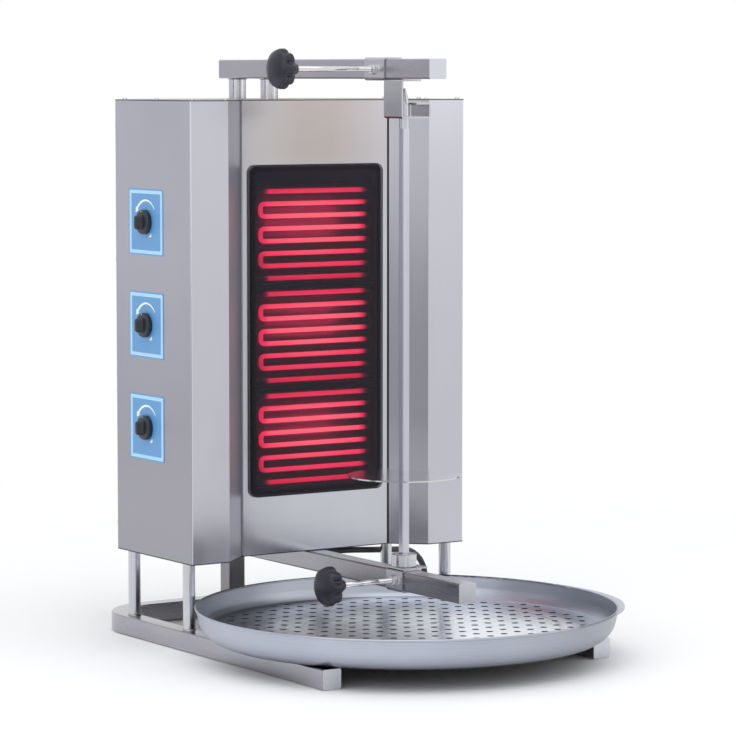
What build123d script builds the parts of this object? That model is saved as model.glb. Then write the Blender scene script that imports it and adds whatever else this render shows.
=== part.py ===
"""Electric doner kebab grill: a radiant heater housing on a tube frame, with a vertical spit.

Millimetres. X runs across the grill, the front faces -Y and Z is up from the table.
The origin is on the table, under the middle of the grill without its supply lead.
"""
from build123d import *
from math import atan2, cos, hypot, pi, radians, sin, sqrt, tan
import os

os.makedirs("parts", exist_ok=True)

# Stock and clearances
tube = 30.0
tube_wall = 1.5
tube_corner = 2.5
sheet = 1.5
fold_radius = 2.0
running_gap = 0.05
loose_gap = 0.3
slide_gap = 0.4

# Base frame, legs and rear column
frame_width = 512.0
frame_front = -271.0
frame_rear = 423.0
frame_bend = 80.0
leg_diameter = 19.0
leg_wall = 1.5
leg_x = 237.0
leg_front_y = 142.0
leg_rear_y = 312.0

# Heater housing, whose front is recessed between two slanted cheeks
housing_bottom = 133.0
housing_top = 838.0
housing_width = 500.0
wing_front_y = 110.0
wing_inner_x = 183.4
recess_y = 153.0
recess_half = 136.4
side_rear_y = 341.0
rear_half = 150.0
edge_return = 16.0
panel_gap = 3.4
bracket_width = 60.0
bracket_thick = 3.0
bracket_lip = 30.0
vent_width = 90.0
vent_height = 5.0
vent_pitch = 16.0
vent_rows = 5
vent_inset = 20.0

# Radiant window and its three heaters
glass_width = 244.0
glass_height = 514.0
glass_bottom = 224.0
glass_thick = 4.0
glass_corner = 12.0
glass_bevel = 1.0
glass_lap = 10.0
seal_thick = 2.0
seal_width = 7.0
heater_count = 3
heater_pitch = 158.8
heater_drop = 10.4
pan_width = 228.0
pan_height = 150.0
pan_depth = 30.0
pan_flange = 3.5
pan_wall = 1.0
board_thick = 14.0
rod_diameter = 7.0
rod_lines = 8
rod_pitch = 19.2
rod_left = 95.0
rod_right = 107.0
rod_bend = 6.0
rod_depth = 8.5
rod_tail = 12.0
bush_diameter = 12.0
bush_length = 8.0

# Controls on the left side
control_y = 245.5
control_lift = 21.0
label_width = 105.0
label_height = 102.0
label_thick = 0.5
label_corner = 3.0
shaft_diameter = 6.0
shaft_depth = 24.0
shaft_length = 38.0
neck_diameter = 9.5
neck_nut_flats = 14.0
neck_nut_thick = 2.5
regulator_width = 44.0
regulator_height = 42.0
regulator_depth = 34.0
knob_diameter = 38.0
knob_skirt = 8.0
knob_height = 19.0
knob_grip = 9.0
knob_grip_length = 34.0
knob_grip_end = 7.0
knob_grip_end_length = 23.0
knob_recess = 20.0
knob_recess_depth = 3.0
knob_edge = 1.2
knob_stand = 0.7

# Arms, and the two carriages that slide along them
arm_top = 900.0
upper_arm_front = -183.5
upper_arm_rear = 421.0
lower_arm_front = -263.0
post_diameter = 28.0
post_wall = 2.0
post_front_y = 290.0
post_rear_y = 388.0
spit_y = -94.7
sleeve_wall = 2.0
lower_sleeve_length = 44.0
upper_sleeve_length = 54.0
hanger_length = 48.0
hanger_front = -113.7
hanger_thick = 3.0
hanger_fold = 4.0
hanger_shelf = 811.5
hanger_hook = 835.0
hanger_reach = 35.0
hanger_return = 26.0
clamp_rod = 8.0
clamp_nut_flats = 13.0
clamp_nut_thick = 6.5
upper_star_x = 175.0
lower_star_x = 128.5
star_diameter = 60.0
star_thick = 18.0
star_lobes = 8
star_lobe_radius = 7.0
star_hub = 26.0
star_hub_end = 16.0
star_hub_length = 9.0
star_edge = 2.0
star_crown = 5.5
star_crown_diameter = 50.0
star_crown_slope = 40.0
star_insert = 4.0
tip_gap = 0.1

# Spit, its cup and the meat disc
spit_side = 12.0
spit_edge = 1.5
spit_bottom = 148.0
tip_diameter = 15.7
tip_bottom = 796.0
tip_shoulder = 834.0
tip_top = 856.0
tip_point = 4.0
cup_diameter = 38.0
cup_height = 18.5
cup_mouth = 2.0
socket_gap = 0.15
bearing_plate_thick = 2.5
bearing_reach = 28.0
stub_diameter = 12.0
stub_height = 6.0
washer_diameter = 26.0
washer_thick = 1.0
disc_diameter = 170.0
disc_thick = 2.0
disc_bottom = 274.6
disc_gap = 0.2
disc_pin = 4.0
disc_pin_length = 24.0

# Drip tray and strainer
tray_radius = 320.0
tray_base_radius = 309.0
tray_top = 80.0
tray_corner = 38.0
tray_wall = 1.2
tray_bead = 4.0
lip_radius = 260.0
lip_reach = 11.0
lip_angle = -20.0
lip_thick = 2.0
strainer_thick = 1.5
strainer_lift = 14.5
strainer_hole = 11.0
strainer_column = 20.6
strainer_row = 20.0
strainer_margin = 17.5
strainer_turn = -33.2

# Supply lead, its gland, coil and plug
lead_diameter = 10.0
gland_thread = 18.0
gland_flats = 24.0
gland_body = 6.0
gland_mouth = 13.0
gland_nut = 5.0
pocket_width = 110.0
pocket_length = 80.0
pocket_x = 105.0
pocket_y = 330.0
pocket_depth = 48.0
coil_radius = 62.0
coil_step = 5.7
coil_turns_in = 4
coil_climb = 4.6
coil_lift = 10.6
coil_tail = 40.0
coil_samples = 700
bend_share = 0.45
plug_diameter = 37.0
plug_length = 36.0
plug_relief = 20.0
plug_neck = 18.0
plug_edge = 4.0
pin_diameter = 4.8
pin_length = 19.0
pin_spacing = 19.0

# Terminal block
block_x = 20.0
block_y = 250.0
block_length = 66.0
block_width = 24.0
block_height = 22.0
block_bevel = 5.0
block_ways = 5
block_port = 6.0

# Screws
screw_diameter = 4.0
screw_head = 8.0
screw_head_height = 2.4
screw_length = 8.0
screw_inset = 8.0
screw_draft = 20.0
back_screw_inset = 40.0
back_screw_count = 4

# The lead's way from its gland to the coil on the table, behind the tray's right side
lead_route = [
    (100.0, 335.0, 164.0),
    (100.0, 335.0, 143.0),
    (108.4, 335.0, 122.7),
    (124.0, 335.0, 107.1),
    (144.3, 335.0, 98.7),
    (182.0, 335.0, 98.2),
    (222.0, 335.0, 95.2),
    (262.0, 335.0, 92.8),
    (293.0, 335.0, 90.6),
    (307.8, 335.0, 84.0),
    (319.6, 335.0, 73.0),
    (327.3, 335.0, 58.7),
    (330.1, 335.0, 42.5),
    (333.0, 327.9, 25.1),
    (335.3, 314.7, 12.1),
    (336.6, 297.5, 5.1),
    (338.2, 261.5, 5.1),
    (338.2, 232.0, 5.1),
]

# Sizes that follow from the ones above
rail_x = (frame_width - tube) / 2
tray_y = tray_radius - frame_rear
lower_arm_z = housing_bottom - tube / 2
upper_arm_z = arm_top - tube / 2
shell_bottom = housing_bottom + sheet
shell_top = housing_top - sheet
side_x = housing_width / 2
panel_back = recess_y + sheet
glass_z = glass_bottom + glass_height / 2
window_width = glass_width - 2 * glass_lap
window_height = glass_height - 2 * glass_lap
heater_z = [glass_z - heater_drop + (1 - place) * heater_pitch for place in range(heater_count)]
levels = ["upper", "middle", "lower"]
rod_y = panel_back + rod_depth
pan_rear = panel_back + pan_depth
sleeve_bore = tube + 2 * slide_gap
sleeve_outer = sleeve_bore + 2 * sleeve_wall
hanger_rear = hanger_front + hanger_length
lower_sleeve_front = spit_y - lower_sleeve_length / 2
bearing_top = lower_arm_z + sleeve_outer / 2 + bearing_plate_thick
cup_bottom = bearing_top + washer_thick + 2 * running_gap
through = 3 * sheet


def front_plane(y):
    """Plane of a front view: sketch x is X, sketch y is Z, and it faces the front."""
    return Plane.XZ.offset(-y)


def save(part, name):
    """Name a finished piece and write it."""
    part.label = name
    export_step(part, f"parts/{name}.step")


def tube_section():
    """Rounded square tube, drawn on the sketch that is open."""
    RectangleRounded(tube, tube, tube_corner)
    bore = tube - 2 * tube_wall
    RectangleRounded(bore, bore, tube_corner - tube_wall, mode=Mode.SUBTRACT)


def housing_outline():
    """Corners of the housing's plan, from the left wing round by the recess to the left rear."""
    left = [(-side_x, wing_front_y), (-wing_inner_x, wing_front_y), (-recess_half, recess_y)]
    right = [(-x, y) for x, y in reversed(left)]
    rear = [(side_x, side_rear_y), (rear_half, frame_rear)]
    return left + right + rear + [(-x, y) for x, y in reversed(rear)]


# Base frame: one square tube bent into a U, open at the front, that the tray slides over.
with BuildPart() as base_frame:
    with BuildLine(Plane.XY.offset(tube / 2)):
        FilletPolyline(
            (-rail_x, frame_front + tube_wall),
            (-rail_x, frame_rear - tube / 2),
            (rail_x, frame_rear - tube / 2),
            (rail_x, frame_front + tube_wall),
            radius=frame_bend,
        )
    with BuildSketch(Plane((-rail_x, frame_front + tube_wall, tube / 2), (1, 0, 0), (0, 1, 0))):
        tube_section()
    sweep()
save(base_frame.part, "base_frame")

# End caps: flat plates welded over the open ends of the frame and of the two arms.
cap_places = [
    (-rail_x, frame_front, tube / 2),
    (rail_x, frame_front, tube / 2),
    (0, lower_arm_front, lower_arm_z),
    (0, upper_arm_front, upper_arm_z),
    (0, upper_arm_rear - tube_wall, upper_arm_z),
]
with BuildPart() as tube_end_caps:
    for x, y, z in cap_places:
        with BuildSketch(front_plane(y)):
            with Locations((x, z)):
                RectangleRounded(tube, tube, tube_corner)
        extrude(amount=-tube_wall)
save(tube_end_caps.part, "tube_end_caps")

# Four round legs carry the housing above the side rails.
leg_places = {
    "leg_front_left": (-leg_x, leg_front_y),
    "leg_front_right": (leg_x, leg_front_y),
    "leg_rear_left": (-leg_x, leg_rear_y),
    "leg_rear_right": (leg_x, leg_rear_y),
}
for leg_name, leg_place in leg_places.items():
    with BuildPart() as leg:
        with BuildSketch(Plane.XY.offset(tube)):
            with Locations(leg_place):
                Circle(leg_diameter / 2)
                Circle(leg_diameter / 2 - leg_wall, mode=Mode.SUBTRACT)
        extrude(amount=housing_bottom - tube)
    save(leg.part, leg_name)

# Rear column: square tube standing on the rear cross tube.
with BuildPart() as rear_column:
    with BuildSketch(Plane.XY.offset(tube)):
        with Locations((0, frame_rear - tube / 2)):
            tube_section()
    extrude(amount=housing_bottom - tube)
save(rear_column.part, "rear_column")

# Arms: the lower one is welded to the column and runs forward under the housing, and
# the upper one stands on two posts above it.
arm_spans = {
    "lower_arm": (lower_arm_front + tube_wall, frame_rear - tube, lower_arm_z),
    "upper_arm": (upper_arm_front + tube_wall, upper_arm_rear - tube_wall, upper_arm_z),
}
for arm_name, (arm_front, arm_rear, arm_z) in arm_spans.items():
    with BuildPart() as arm:
        with BuildSketch(front_plane(arm_front)):
            with Locations((0, arm_z)):
                tube_section()
        extrude(amount=arm_front - arm_rear)
    save(arm.part, arm_name)

# Posts: round tubes from the bracket inside the housing up to the upper arm.
for post_name, post_y in (("arm_post_front", post_front_y), ("arm_post_rear", post_rear_y)):
    with BuildPart() as post:
        with BuildSketch(Plane.XY.offset(shell_top)):
            with Locations((0, post_y)):
                Circle(post_diameter / 2)
                Circle(post_diameter / 2 - post_wall, mode=Mode.SUBTRACT)
        extrude(amount=arm_top - tube - shell_top)
    save(post.part, post_name)

# Post bracket: a channel under the top cover that the posts are welded to.
bracket_front = post_front_y - bracket_width / 2
bracket_rear = frame_rear - sheet
with BuildPart() as post_bracket:
    with BuildSketch(front_plane(bracket_front)):
        with Locations((0, shell_top)):
            Rectangle(bracket_width, bracket_lip, align=(Align.CENTER, Align.MAX))
        with Locations((0, shell_top - bracket_thick)):
            inner = bracket_width - 2 * bracket_thick
            Rectangle(inner, bracket_lip, align=(Align.CENTER, Align.MAX), mode=Mode.SUBTRACT)
    extrude(amount=bracket_front - bracket_rear)
save(post_bracket.part, "post_bracket")

# Spine: a channel inside the rear wall that carries the bracket down to the column.
spine_width = bracket_width - 2 * bracket_thick - 2 * loose_gap
spine_depth = tube - bracket_thick
with BuildPart() as spine_channel:
    with BuildSketch(Plane.XY.offset(shell_bottom)):
        with Locations((0, bracket_rear)):
            Rectangle(spine_width, spine_depth, align=(Align.CENTER, Align.MAX))
        with Locations((0, bracket_rear - bracket_thick)):
            inner = spine_width - 2 * bracket_thick
            Rectangle(inner, spine_depth, align=(Align.CENTER, Align.MAX), mode=Mode.SUBTRACT)
    extrude(amount=shell_top - bracket_thick - shell_bottom)
save(spine_channel.part, "spine_channel")

# Side shells: each is one sheet, folded at the slanted cheek, the wing and the side, with
# returns behind the centre and back panels and a flange under the top cover.
rear_slant = hypot(side_x - rear_half, frame_rear - side_rear_y)
slant_x = (side_x - rear_half) / rear_slant
slant_y = (frame_rear - side_rear_y) / rear_slant
cheek_run = (wing_inner_x - recess_half) / (recess_y - wing_front_y)
cheek_end = (-recess_half + sheet * cheek_run, panel_back)
side_rear = (-side_x, side_rear_y - sheet / slant_x)
wall_points = [cheek_end, (-wing_inner_x, wing_front_y), (-side_x, wing_front_y), side_rear]
front_return = (cheek_end[0] + edge_return, panel_back)
rear_return = (side_rear[0] + edge_return * slant_x, side_rear[1] + edge_return * slant_y)


def folded_strip(points, depth, z, height):
    """Upright strip along folded points, thick or wide towards their right-hand side."""
    with BuildSketch(Plane.XY.offset(z)) as strip:
        with BuildLine():
            edge = FilletPolyline(*points, radius=fold_radius)
            offset(edge, amount=depth, side=Side.RIGHT)
        make_face()
    extrude(strip.sketch, amount=height)


cover_screw_places = [
    (-side_x + screw_inset, wing_front_y + screw_inset),
    (-side_x + screw_inset, (wing_front_y + side_rear_y) / 2),
    (-side_x + screw_inset, side_rear_y - 2 * screw_inset),
    (-wing_inner_x, wing_front_y + screw_inset),
]
cover_screw_places += [(-x, y) for x, y in cover_screw_places]
shell_height = shell_top - shell_bottom
with BuildPart() as shell_body:
    folded_strip([front_return, *wall_points, rear_return], sheet, shell_bottom, shell_height)
    folded_strip(wall_points, edge_return, shell_top - sheet, sheet)

# Screws of the back panel go square through its slanted faces into the shells' returns.
back_screw_pitch = (shell_height - 2 * back_screw_inset) / (back_screw_count - 1)
back_screw_z = [
    shell_bottom + back_screw_inset + place * back_screw_pitch for place in range(back_screw_count)
]
back_screw_planes = []
for side in (-1, 1):
    for z in back_screw_z:
        point = (side * (side_x - screw_inset * slant_x), side_rear_y + screw_inset * slant_y, z)
        back_screw_planes.append(Plane(point, (0, 0, 1), (side * slant_y, slant_x, 0)))


def drill(planes, diameter, depth):
    """Round holes, square to each plane and centred on its origin."""
    for plane in planes:
        with BuildSketch(plane) as hole:
            Circle(diameter / 2)
        extrude(hole.sketch, amount=depth, both=True, mode=Mode.SUBTRACT)


screw_hole = screw_diameter + 2 * running_gap
cover_screw_planes = [Plane((x, y, housing_top)) for x, y in cover_screw_places]
neck_planes = []
for z in heater_z:
    neck_planes.append(Plane((-side_x, control_y, z + control_lift), (0, -1, 0), (-1, 0, 0)))
neck_hole = neck_diameter + 2 * running_gap
cover_half = len(cover_screw_planes) // 2
left_screws = cover_screw_planes[:cover_half] + back_screw_planes[:back_screw_count]
right_screws = cover_screw_planes[cover_half:] + back_screw_planes[back_screw_count:]

with BuildPart() as side_shell_left:
    add(shell_body.part)
    drill(left_screws, screw_hole, through)
    drill(neck_planes, neck_hole, through)
save(side_shell_left.part, "side_shell_left")

with BuildPart() as side_shell_right:
    mirror(shell_body.part, about=Plane.YZ)
    drill(right_screws, screw_hole, through)
save(side_shell_right.part, "side_shell_right")

# Centre panel: flat sheet in the recess with the window cut out of it.
with BuildPart() as centre_panel:
    with BuildSketch(front_plane(recess_y)):
        with Locations((0, (shell_bottom + shell_top) / 2)):
            Rectangle(2 * (recess_half - panel_gap), shell_height)
        with Locations((0, glass_z)):
            RectangleRounded(window_width, window_height, glass_corner / 2, mode=Mode.SUBTRACT)
    extrude(amount=-sheet)
save(centre_panel.part, "centre_panel")

# Back panel: one sheet folded twice, with two groups of vent slots beside the spine.
back_points = [(-side_x, side_rear_y), (-rear_half, frame_rear)]
back_points += [(-x, y) for x, y in reversed(back_points)]
vent_span = (vent_rows - 1) * vent_pitch
vent_z = [shell_bottom + vent_inset + vent_span / 2, shell_top - vent_inset - vent_span / 2]
with BuildPart() as back_panel:
    folded_strip(back_points, sheet, shell_bottom, shell_height)
    with BuildSketch(Plane.XZ.offset(-frame_rear)):
        for z in vent_z:
            with Locations((-rear_half / 2, z), (rear_half / 2, z)):
                with GridLocations(0, vent_pitch, 1, vent_rows):
                    Rectangle(vent_width, vent_height)
    extrude(amount=through, mode=Mode.SUBTRACT)
    drill(back_screw_planes, screw_hole, through)
save(back_panel.part, "back_panel")

# Bottom plate: it has a deep pocket for the lead's gland, so that the lead can bend
# away to the side before it comes below the housing.
pocket_top = housing_bottom + pocket_depth
gland_place = (lead_route[0][0], lead_route[0][1])
with BuildPart() as bottom_plate:
    with BuildSketch(Plane.XY.offset(housing_bottom)):
        with BuildLine():
            Polyline(*housing_outline(), close=True)
        make_face()
    extrude(amount=sheet)
    with BuildSketch(Plane.XY.offset(housing_bottom)):
        with Locations((pocket_x, pocket_y)):
            RectangleRounded(pocket_width, pocket_length, 2 * fold_radius)
    extrude(amount=pocket_depth)
    with BuildSketch(Plane.XY.offset(housing_bottom)):
        with Locations((pocket_x, pocket_y)):
            inner_width = pocket_width - 2 * sheet
            inner_length = pocket_length - 2 * sheet
            RectangleRounded(inner_width, inner_length, 2 * fold_radius - sheet)
    extrude(amount=pocket_depth - sheet, mode=Mode.SUBTRACT)
    drill([Plane((*gland_place, pocket_top))], gland_thread + 2 * running_gap, through)
save(bottom_plate.part, "bottom_plate")

# Top cover: flat plate that the two posts pass through.
with BuildPart() as top_cover:
    with BuildSketch(Plane.XY.offset(shell_top)):
        with BuildLine():
            Polyline(*housing_outline(), close=True)
        make_face()
        with Locations((0, post_front_y), (0, post_rear_y)):
            Circle(post_diameter / 2 + loose_gap, mode=Mode.SUBTRACT)
        with Locations(cover_screw_places):
            Circle(screw_hole / 2, mode=Mode.SUBTRACT)
    extrude(amount=sheet)
save(top_cover.part, "top_cover")


def add_screw(plane):
    """Pan-head screw whose head sits on the plane."""
    with BuildSketch(plane) as head:
        Circle(screw_head / 2)
    extrude(head.sketch, amount=screw_head_height, taper=screw_draft)
    with BuildSketch(plane) as shank:
        RegularPolygon(screw_diameter / 2, 6)
    extrude(shank.sketch, amount=-screw_length)


with BuildPart() as cover_screws:
    for screw_plane in cover_screw_planes:
        add_screw(screw_plane)
save(cover_screws.part, "cover_screws")

with BuildPart() as back_screws:
    for screw_plane in back_screw_planes:
        add_screw(screw_plane)
save(back_screws.part, "back_screws")

# Glass: a dark ceramic pane that stands proud of the centre panel on its seal.
glass_front = recess_y - seal_thick - glass_thick
with BuildPart() as glass_panel:
    with BuildSketch(front_plane(glass_front)):
        with Locations((0, glass_z)):
            RectangleRounded(glass_width, glass_height, glass_corner)
    extrude(amount=-glass_thick)
    chamfer(glass_panel.faces().sort_by(Axis.Y)[0].edges(), glass_bevel)
save(glass_panel.part, "glass_panel")

with BuildPart() as glass_seal:
    with BuildSketch(front_plane(recess_y - seal_thick)):
        with Locations((0, glass_z)):
            seal_x = window_width + 2 * seal_width
            seal_z = window_height + 2 * seal_width
            RectangleRounded(seal_x, seal_z, glass_corner - glass_lap + seal_width)
            RectangleRounded(window_width, window_height, glass_corner / 2, mode=Mode.SUBTRACT)
    extrude(amount=-seal_thick)
save(glass_seal.part, "glass_seal")

# Heaters: each has a pan behind the window, an insulation board in it, and one rod
# bent to and fro, whose two ends leave the pan's left wall through ceramic bushes.
rod_rise = (rod_lines - 1) * rod_pitch / 2
bush_x = -pan_width / 2 - (bush_length - pan_wall) / 2
rod_end = -pan_width / 2 - rod_tail
with BuildPart() as heater_pans:
    for z in heater_z:
        with BuildSketch(front_plane(panel_back)):
            with Locations((0, z)):
                Rectangle(pan_width, pan_height)
        extrude(amount=-pan_depth)
        with BuildSketch(front_plane(panel_back)):
            with Locations((0, z)):
                Rectangle(pan_width + 2 * pan_flange, pan_height + 2 * pan_flange)
        extrude(amount=-pan_wall)
        with BuildSketch(front_plane(panel_back)):
            with Locations((0, z)):
                Rectangle(pan_width - 2 * pan_wall, pan_height - 2 * pan_wall)
        extrude(amount=pan_wall - pan_depth, mode=Mode.SUBTRACT)
        bush_planes = []
        for rise in (rod_rise, -rod_rise):
            bush_planes.append(Plane((-pan_width / 2, rod_y, z + rise), (0, 1, 0), (1, 0, 0)))
        drill(bush_planes, bush_diameter + 2 * running_gap, 2 * pan_wall)
save(heater_pans.part, "heater_pans")

for level, z in zip(levels, heater_z):
    with BuildPart() as heating_element:
        stops = []
        for line in range(rod_lines):
            line_z = z + rod_rise - line * rod_pitch
            ends = [(-rod_left, rod_y, line_z), (rod_right, rod_y, line_z)]
            stops += ends if line % 2 == 0 else ends[::-1]
        stops[0] = (rod_end, rod_y, z + rod_rise)
        stops[-1] = (rod_end, rod_y, z - rod_rise)
        with BuildLine():
            FilletPolyline(*stops, radius=rod_bend)
        with BuildSketch(Plane(stops[0], (0, 1, 0), (1, 0, 0))):
            RegularPolygon(rod_diameter / 2, 8, major_radius=False)
        sweep()
    save(heating_element.part, f"heating_element_{level}")

with BuildPart() as insulation_boards:
    with BuildSketch(front_plane(pan_rear - pan_wall)):
        for z in heater_z:
            with Locations((0, z)):
                board_gap = 2 * (pan_wall + loose_gap)
                Rectangle(pan_width - board_gap, pan_height - board_gap)
    extrude(amount=board_thick)
save(insulation_boards.part, "insulation_boards")

with BuildPart() as terminal_bushes:
    with BuildSketch(Plane.YZ.offset(bush_x - bush_length / 2)):
        for z in heater_z:
            with Locations((rod_y, z + rod_rise), (rod_y, z - rod_rise)):
                Circle(bush_diameter / 2)
                RegularPolygon(
                    rod_diameter / 2 + running_gap, 8, major_radius=False, mode=Mode.SUBTRACT
                )
    extrude(amount=bush_length)
save(terminal_bushes.part, "terminal_bushes")

# Controls: a blue label, an energy regulator with its nut behind it, and a bar knob.
with BuildPart() as control_labels:
    for neck_plane in neck_planes:
        with BuildSketch(neck_plane):
            RectangleRounded(label_width, label_height, label_corner)
            Circle(neck_hole / 2, mode=Mode.SUBTRACT)
        extrude(amount=label_thick)
save(control_labels.part, "control_labels")

shaft_bore = shaft_diameter + 2 * running_gap
neck_length = sheet + label_thick + neck_nut_thick
with BuildPart() as regulators:
    for neck_plane in neck_planes:
        inside = neck_plane.offset(-sheet)
        with BuildSketch(inside):
            Rectangle(regulator_width, regulator_height)
        extrude(amount=-regulator_depth)
        with BuildSketch(inside):
            Circle(neck_diameter / 2)
        extrude(amount=neck_length)
        with BuildSketch(neck_plane.offset(-shaft_depth - loose_gap)):
            Circle(shaft_bore / 2)
        extrude(amount=shaft_depth + loose_gap + neck_length, mode=Mode.SUBTRACT)
save(regulators.part, "regulators")

with BuildPart() as regulator_nuts:
    for neck_plane in neck_planes:
        with BuildSketch(neck_plane.offset(label_thick)):
            RegularPolygon(neck_nut_flats / 2, 6, major_radius=False)
            Circle(neck_hole / 2, mode=Mode.SUBTRACT)
        extrude(amount=neck_nut_thick)
save(regulator_nuts.part, "regulator_nuts")

for level, neck_plane in zip(levels, neck_planes):
    with BuildPart() as regulator_shaft:
        with BuildSketch(neck_plane.offset(-shaft_depth)):
            Circle(shaft_diameter / 2)
        extrude(amount=shaft_length)
    save(regulator_shaft.part, f"regulator_shaft_{level}")

    knob_back = neck_plane.offset(label_thick + knob_stand)
    shaft_end = neck_plane.offset(shaft_length - shaft_depth + loose_gap)
    with BuildPart() as control_knob:
        with BuildSketch(knob_back):
            Circle(knob_diameter / 2)
        extrude(amount=knob_skirt)
        chamfer(control_knob.edges().sort_by(Axis.X)[0], knob_edge)
        with BuildSketch(knob_back.offset(knob_skirt - knob_edge)):
            SlotOverall(knob_grip_length, knob_grip, rotation=90)
        with BuildSketch(knob_back.offset(knob_height)):
            SlotOverall(knob_grip_end_length, knob_grip_end, rotation=90)
        loft()
        chamfer(control_knob.faces().sort_by(Axis.X)[0].edges(), knob_edge)
        with BuildSketch(knob_back):
            Circle(knob_recess / 2)
        extrude(amount=knob_recess_depth, mode=Mode.SUBTRACT)
        with BuildSketch(shaft_end):
            Circle(shaft_bore / 2)
        extrude(amount=-knob_height, mode=Mode.SUBTRACT)
    save(control_knob.part, f"control_knob_{level}")

# Carriages: on each arm a square sleeve slides along, held by a screw with a star knob
# that runs in a nut welded to the sleeve's left wall.
sleeve_corner = tube_corner + slide_gap
carriages = {
    "upper": (hanger_rear, upper_sleeve_length, upper_arm_z, upper_star_x),
    "lower": (lower_sleeve_front, lower_sleeve_length, lower_arm_z, lower_star_x),
}
rod_bore = clamp_rod + 2 * running_gap
for level, (sleeve_front, sleeve_length, arm_z, star_x) in carriages.items():
    clamp_y = sleeve_front + sleeve_length / 2
    sleeve_side = Plane((-sleeve_outer / 2, clamp_y, arm_z), (0, -1, 0), (-1, 0, 0))
    with BuildPart() as sleeve:
        with BuildSketch(front_plane(sleeve_front)):
            with Locations((0, arm_z)):
                RectangleRounded(sleeve_outer, sleeve_outer, sleeve_corner + sleeve_wall)
                RectangleRounded(sleeve_bore, sleeve_bore, sleeve_corner, mode=Mode.SUBTRACT)
        extrude(amount=-sleeve_length)
        drill([sleeve_side], rod_bore, 2 * sleeve_wall)
    save(sleeve.part, f"{level}_sleeve")

    with BuildPart() as clamp_nut:
        with BuildSketch(sleeve_side):
            RegularPolygon(clamp_nut_flats / 2, 6, major_radius=False)
            Circle(rod_bore / 2, mode=Mode.SUBTRACT)
        extrude(amount=clamp_nut_thick)
    save(clamp_nut.part, f"{level}_clamp_nut")

    rod_tip = tube / 2 + tip_gap
    rod_length = star_x + star_insert - rod_tip
    with BuildPart() as clamp_screw:
        with BuildSketch(sleeve_side.offset(rod_tip - sleeve_outer / 2)):
            Circle(clamp_rod / 2)
        extrude(amount=rod_length)
    save(clamp_screw.part, f"{level}_clamp_screw")

    star_back = sleeve_side.offset(star_x - star_thick / 2 - sleeve_outer / 2)
    with BuildPart() as star_knob:
        with BuildSketch(star_back):
            lobe_place = star_diameter / 2 - star_lobe_radius
            Circle(lobe_place)
            with PolarLocations(lobe_place, star_lobes):
                Circle(star_lobe_radius)
        extrude(amount=star_thick)
        star_faces = star_knob.faces().filter_by(Axis.X)
        chamfer(star_faces.edges(), star_edge)
        with BuildSketch(star_back.offset(-star_hub_length)):
            Circle(star_hub_end / 2)
        with BuildSketch(star_back):
            Circle(star_hub / 2)
        loft()
        with BuildSketch(star_back.offset(star_thick)):
            Circle(star_crown_diameter / 2)
        extrude(amount=star_crown, taper=star_crown_slope)
        with BuildSketch(star_back.offset(star_thick / 2 + star_insert + running_gap)):
            Circle(rod_bore / 2)
        extrude(amount=-star_thick - star_hub_length, mode=Mode.SUBTRACT)
    save(star_knob.part, f"{level}_star_knob")

# Hanger: a flat strip welded to the upper sleeve and folded into a hook, whose shelf
# holds the spit's tip.
sleeve_under = upper_arm_z - sleeve_outer / 2
hanger_points = [
    (sleeve_outer / 2, sleeve_under + sleeve_wall),
    (-sleeve_outer / 2, sleeve_under + sleeve_wall),
    (-sleeve_outer / 2, hanger_shelf),
    (hanger_reach, hanger_shelf),
    (hanger_reach, hanger_hook),
    (hanger_reach - hanger_return, hanger_hook),
]
with BuildPart() as hanger_bracket:
    with BuildSketch(front_plane(hanger_front)):
        with BuildLine():
            hanger_line = FilletPolyline(*hanger_points, radius=hanger_fold)
            offset(hanger_line, amount=hanger_thick, side=Side.RIGHT)
        make_face()
    extrude(amount=-hanger_length)
    drill([Plane((0, spit_y, hanger_shelf))], tip_diameter + 2 * running_gap, 2 * hanger_thick)
save(hanger_bracket.part, "hanger_bracket")

# Bearing plate: welded on the lower sleeve, with the stub that the spit's cup turns on.
with BuildPart() as bearing_plate:
    with BuildSketch(Plane.XY.offset(bearing_top - bearing_plate_thick)):
        with Locations((-sleeve_outer / 2, spit_y)):
            Rectangle(
                sleeve_outer / 2 + bearing_reach,
                lower_sleeve_length,
                align=(Align.MIN, Align.CENTER),
            )
    extrude(amount=bearing_plate_thick)
    with BuildSketch(Plane.XY.offset(bearing_top)):
        with Locations((0, spit_y)):
            Circle(stub_diameter / 2)
    extrude(amount=stub_height)
save(bearing_plate.part, "bearing_plate")

stub_bore = stub_diameter + 2 * running_gap
with BuildPart() as thrust_washer:
    with BuildSketch(Plane.XY.offset(bearing_top + running_gap)):
        with Locations((0, spit_y)):
            Circle(washer_diameter / 2)
            Circle(stub_bore / 2, mode=Mode.SUBTRACT)
    extrude(amount=washer_thick)
save(thrust_washer.part, "thrust_washer")

# Spit cup: turned, with a bore for the stub below and a square socket above.
socket = spit_side + 2 * socket_gap
with BuildPart() as spit_cup:
    with BuildSketch(Plane.XY.offset(cup_bottom)):
        with Locations((0, spit_y)):
            Circle(cup_diameter / 2)
    extrude(amount=cup_height)
    chamfer(spit_cup.edges().group_by(Axis.Z)[-1], cup_mouth / 2)
    with BuildSketch(Plane.XY.offset(bearing_top + stub_height + loose_gap)):
        with Locations((0, spit_y)):
            Circle(stub_bore / 2)
    extrude(amount=-stub_height - loose_gap, mode=Mode.SUBTRACT)
    with BuildSketch(Plane.XY.offset(spit_bottom)):
        with Locations((0, spit_y)):
            RectangleRounded(socket, socket, spit_edge + socket_gap)
    extrude(amount=cup_height, mode=Mode.SUBTRACT)
    with BuildSketch(Plane.XY.offset(cup_bottom + cup_height)):
        with Locations((0, spit_y)):
            Circle(socket / 2 + cup_mouth)
    extrude(amount=-cup_mouth, taper=45, mode=Mode.SUBTRACT)
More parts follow.
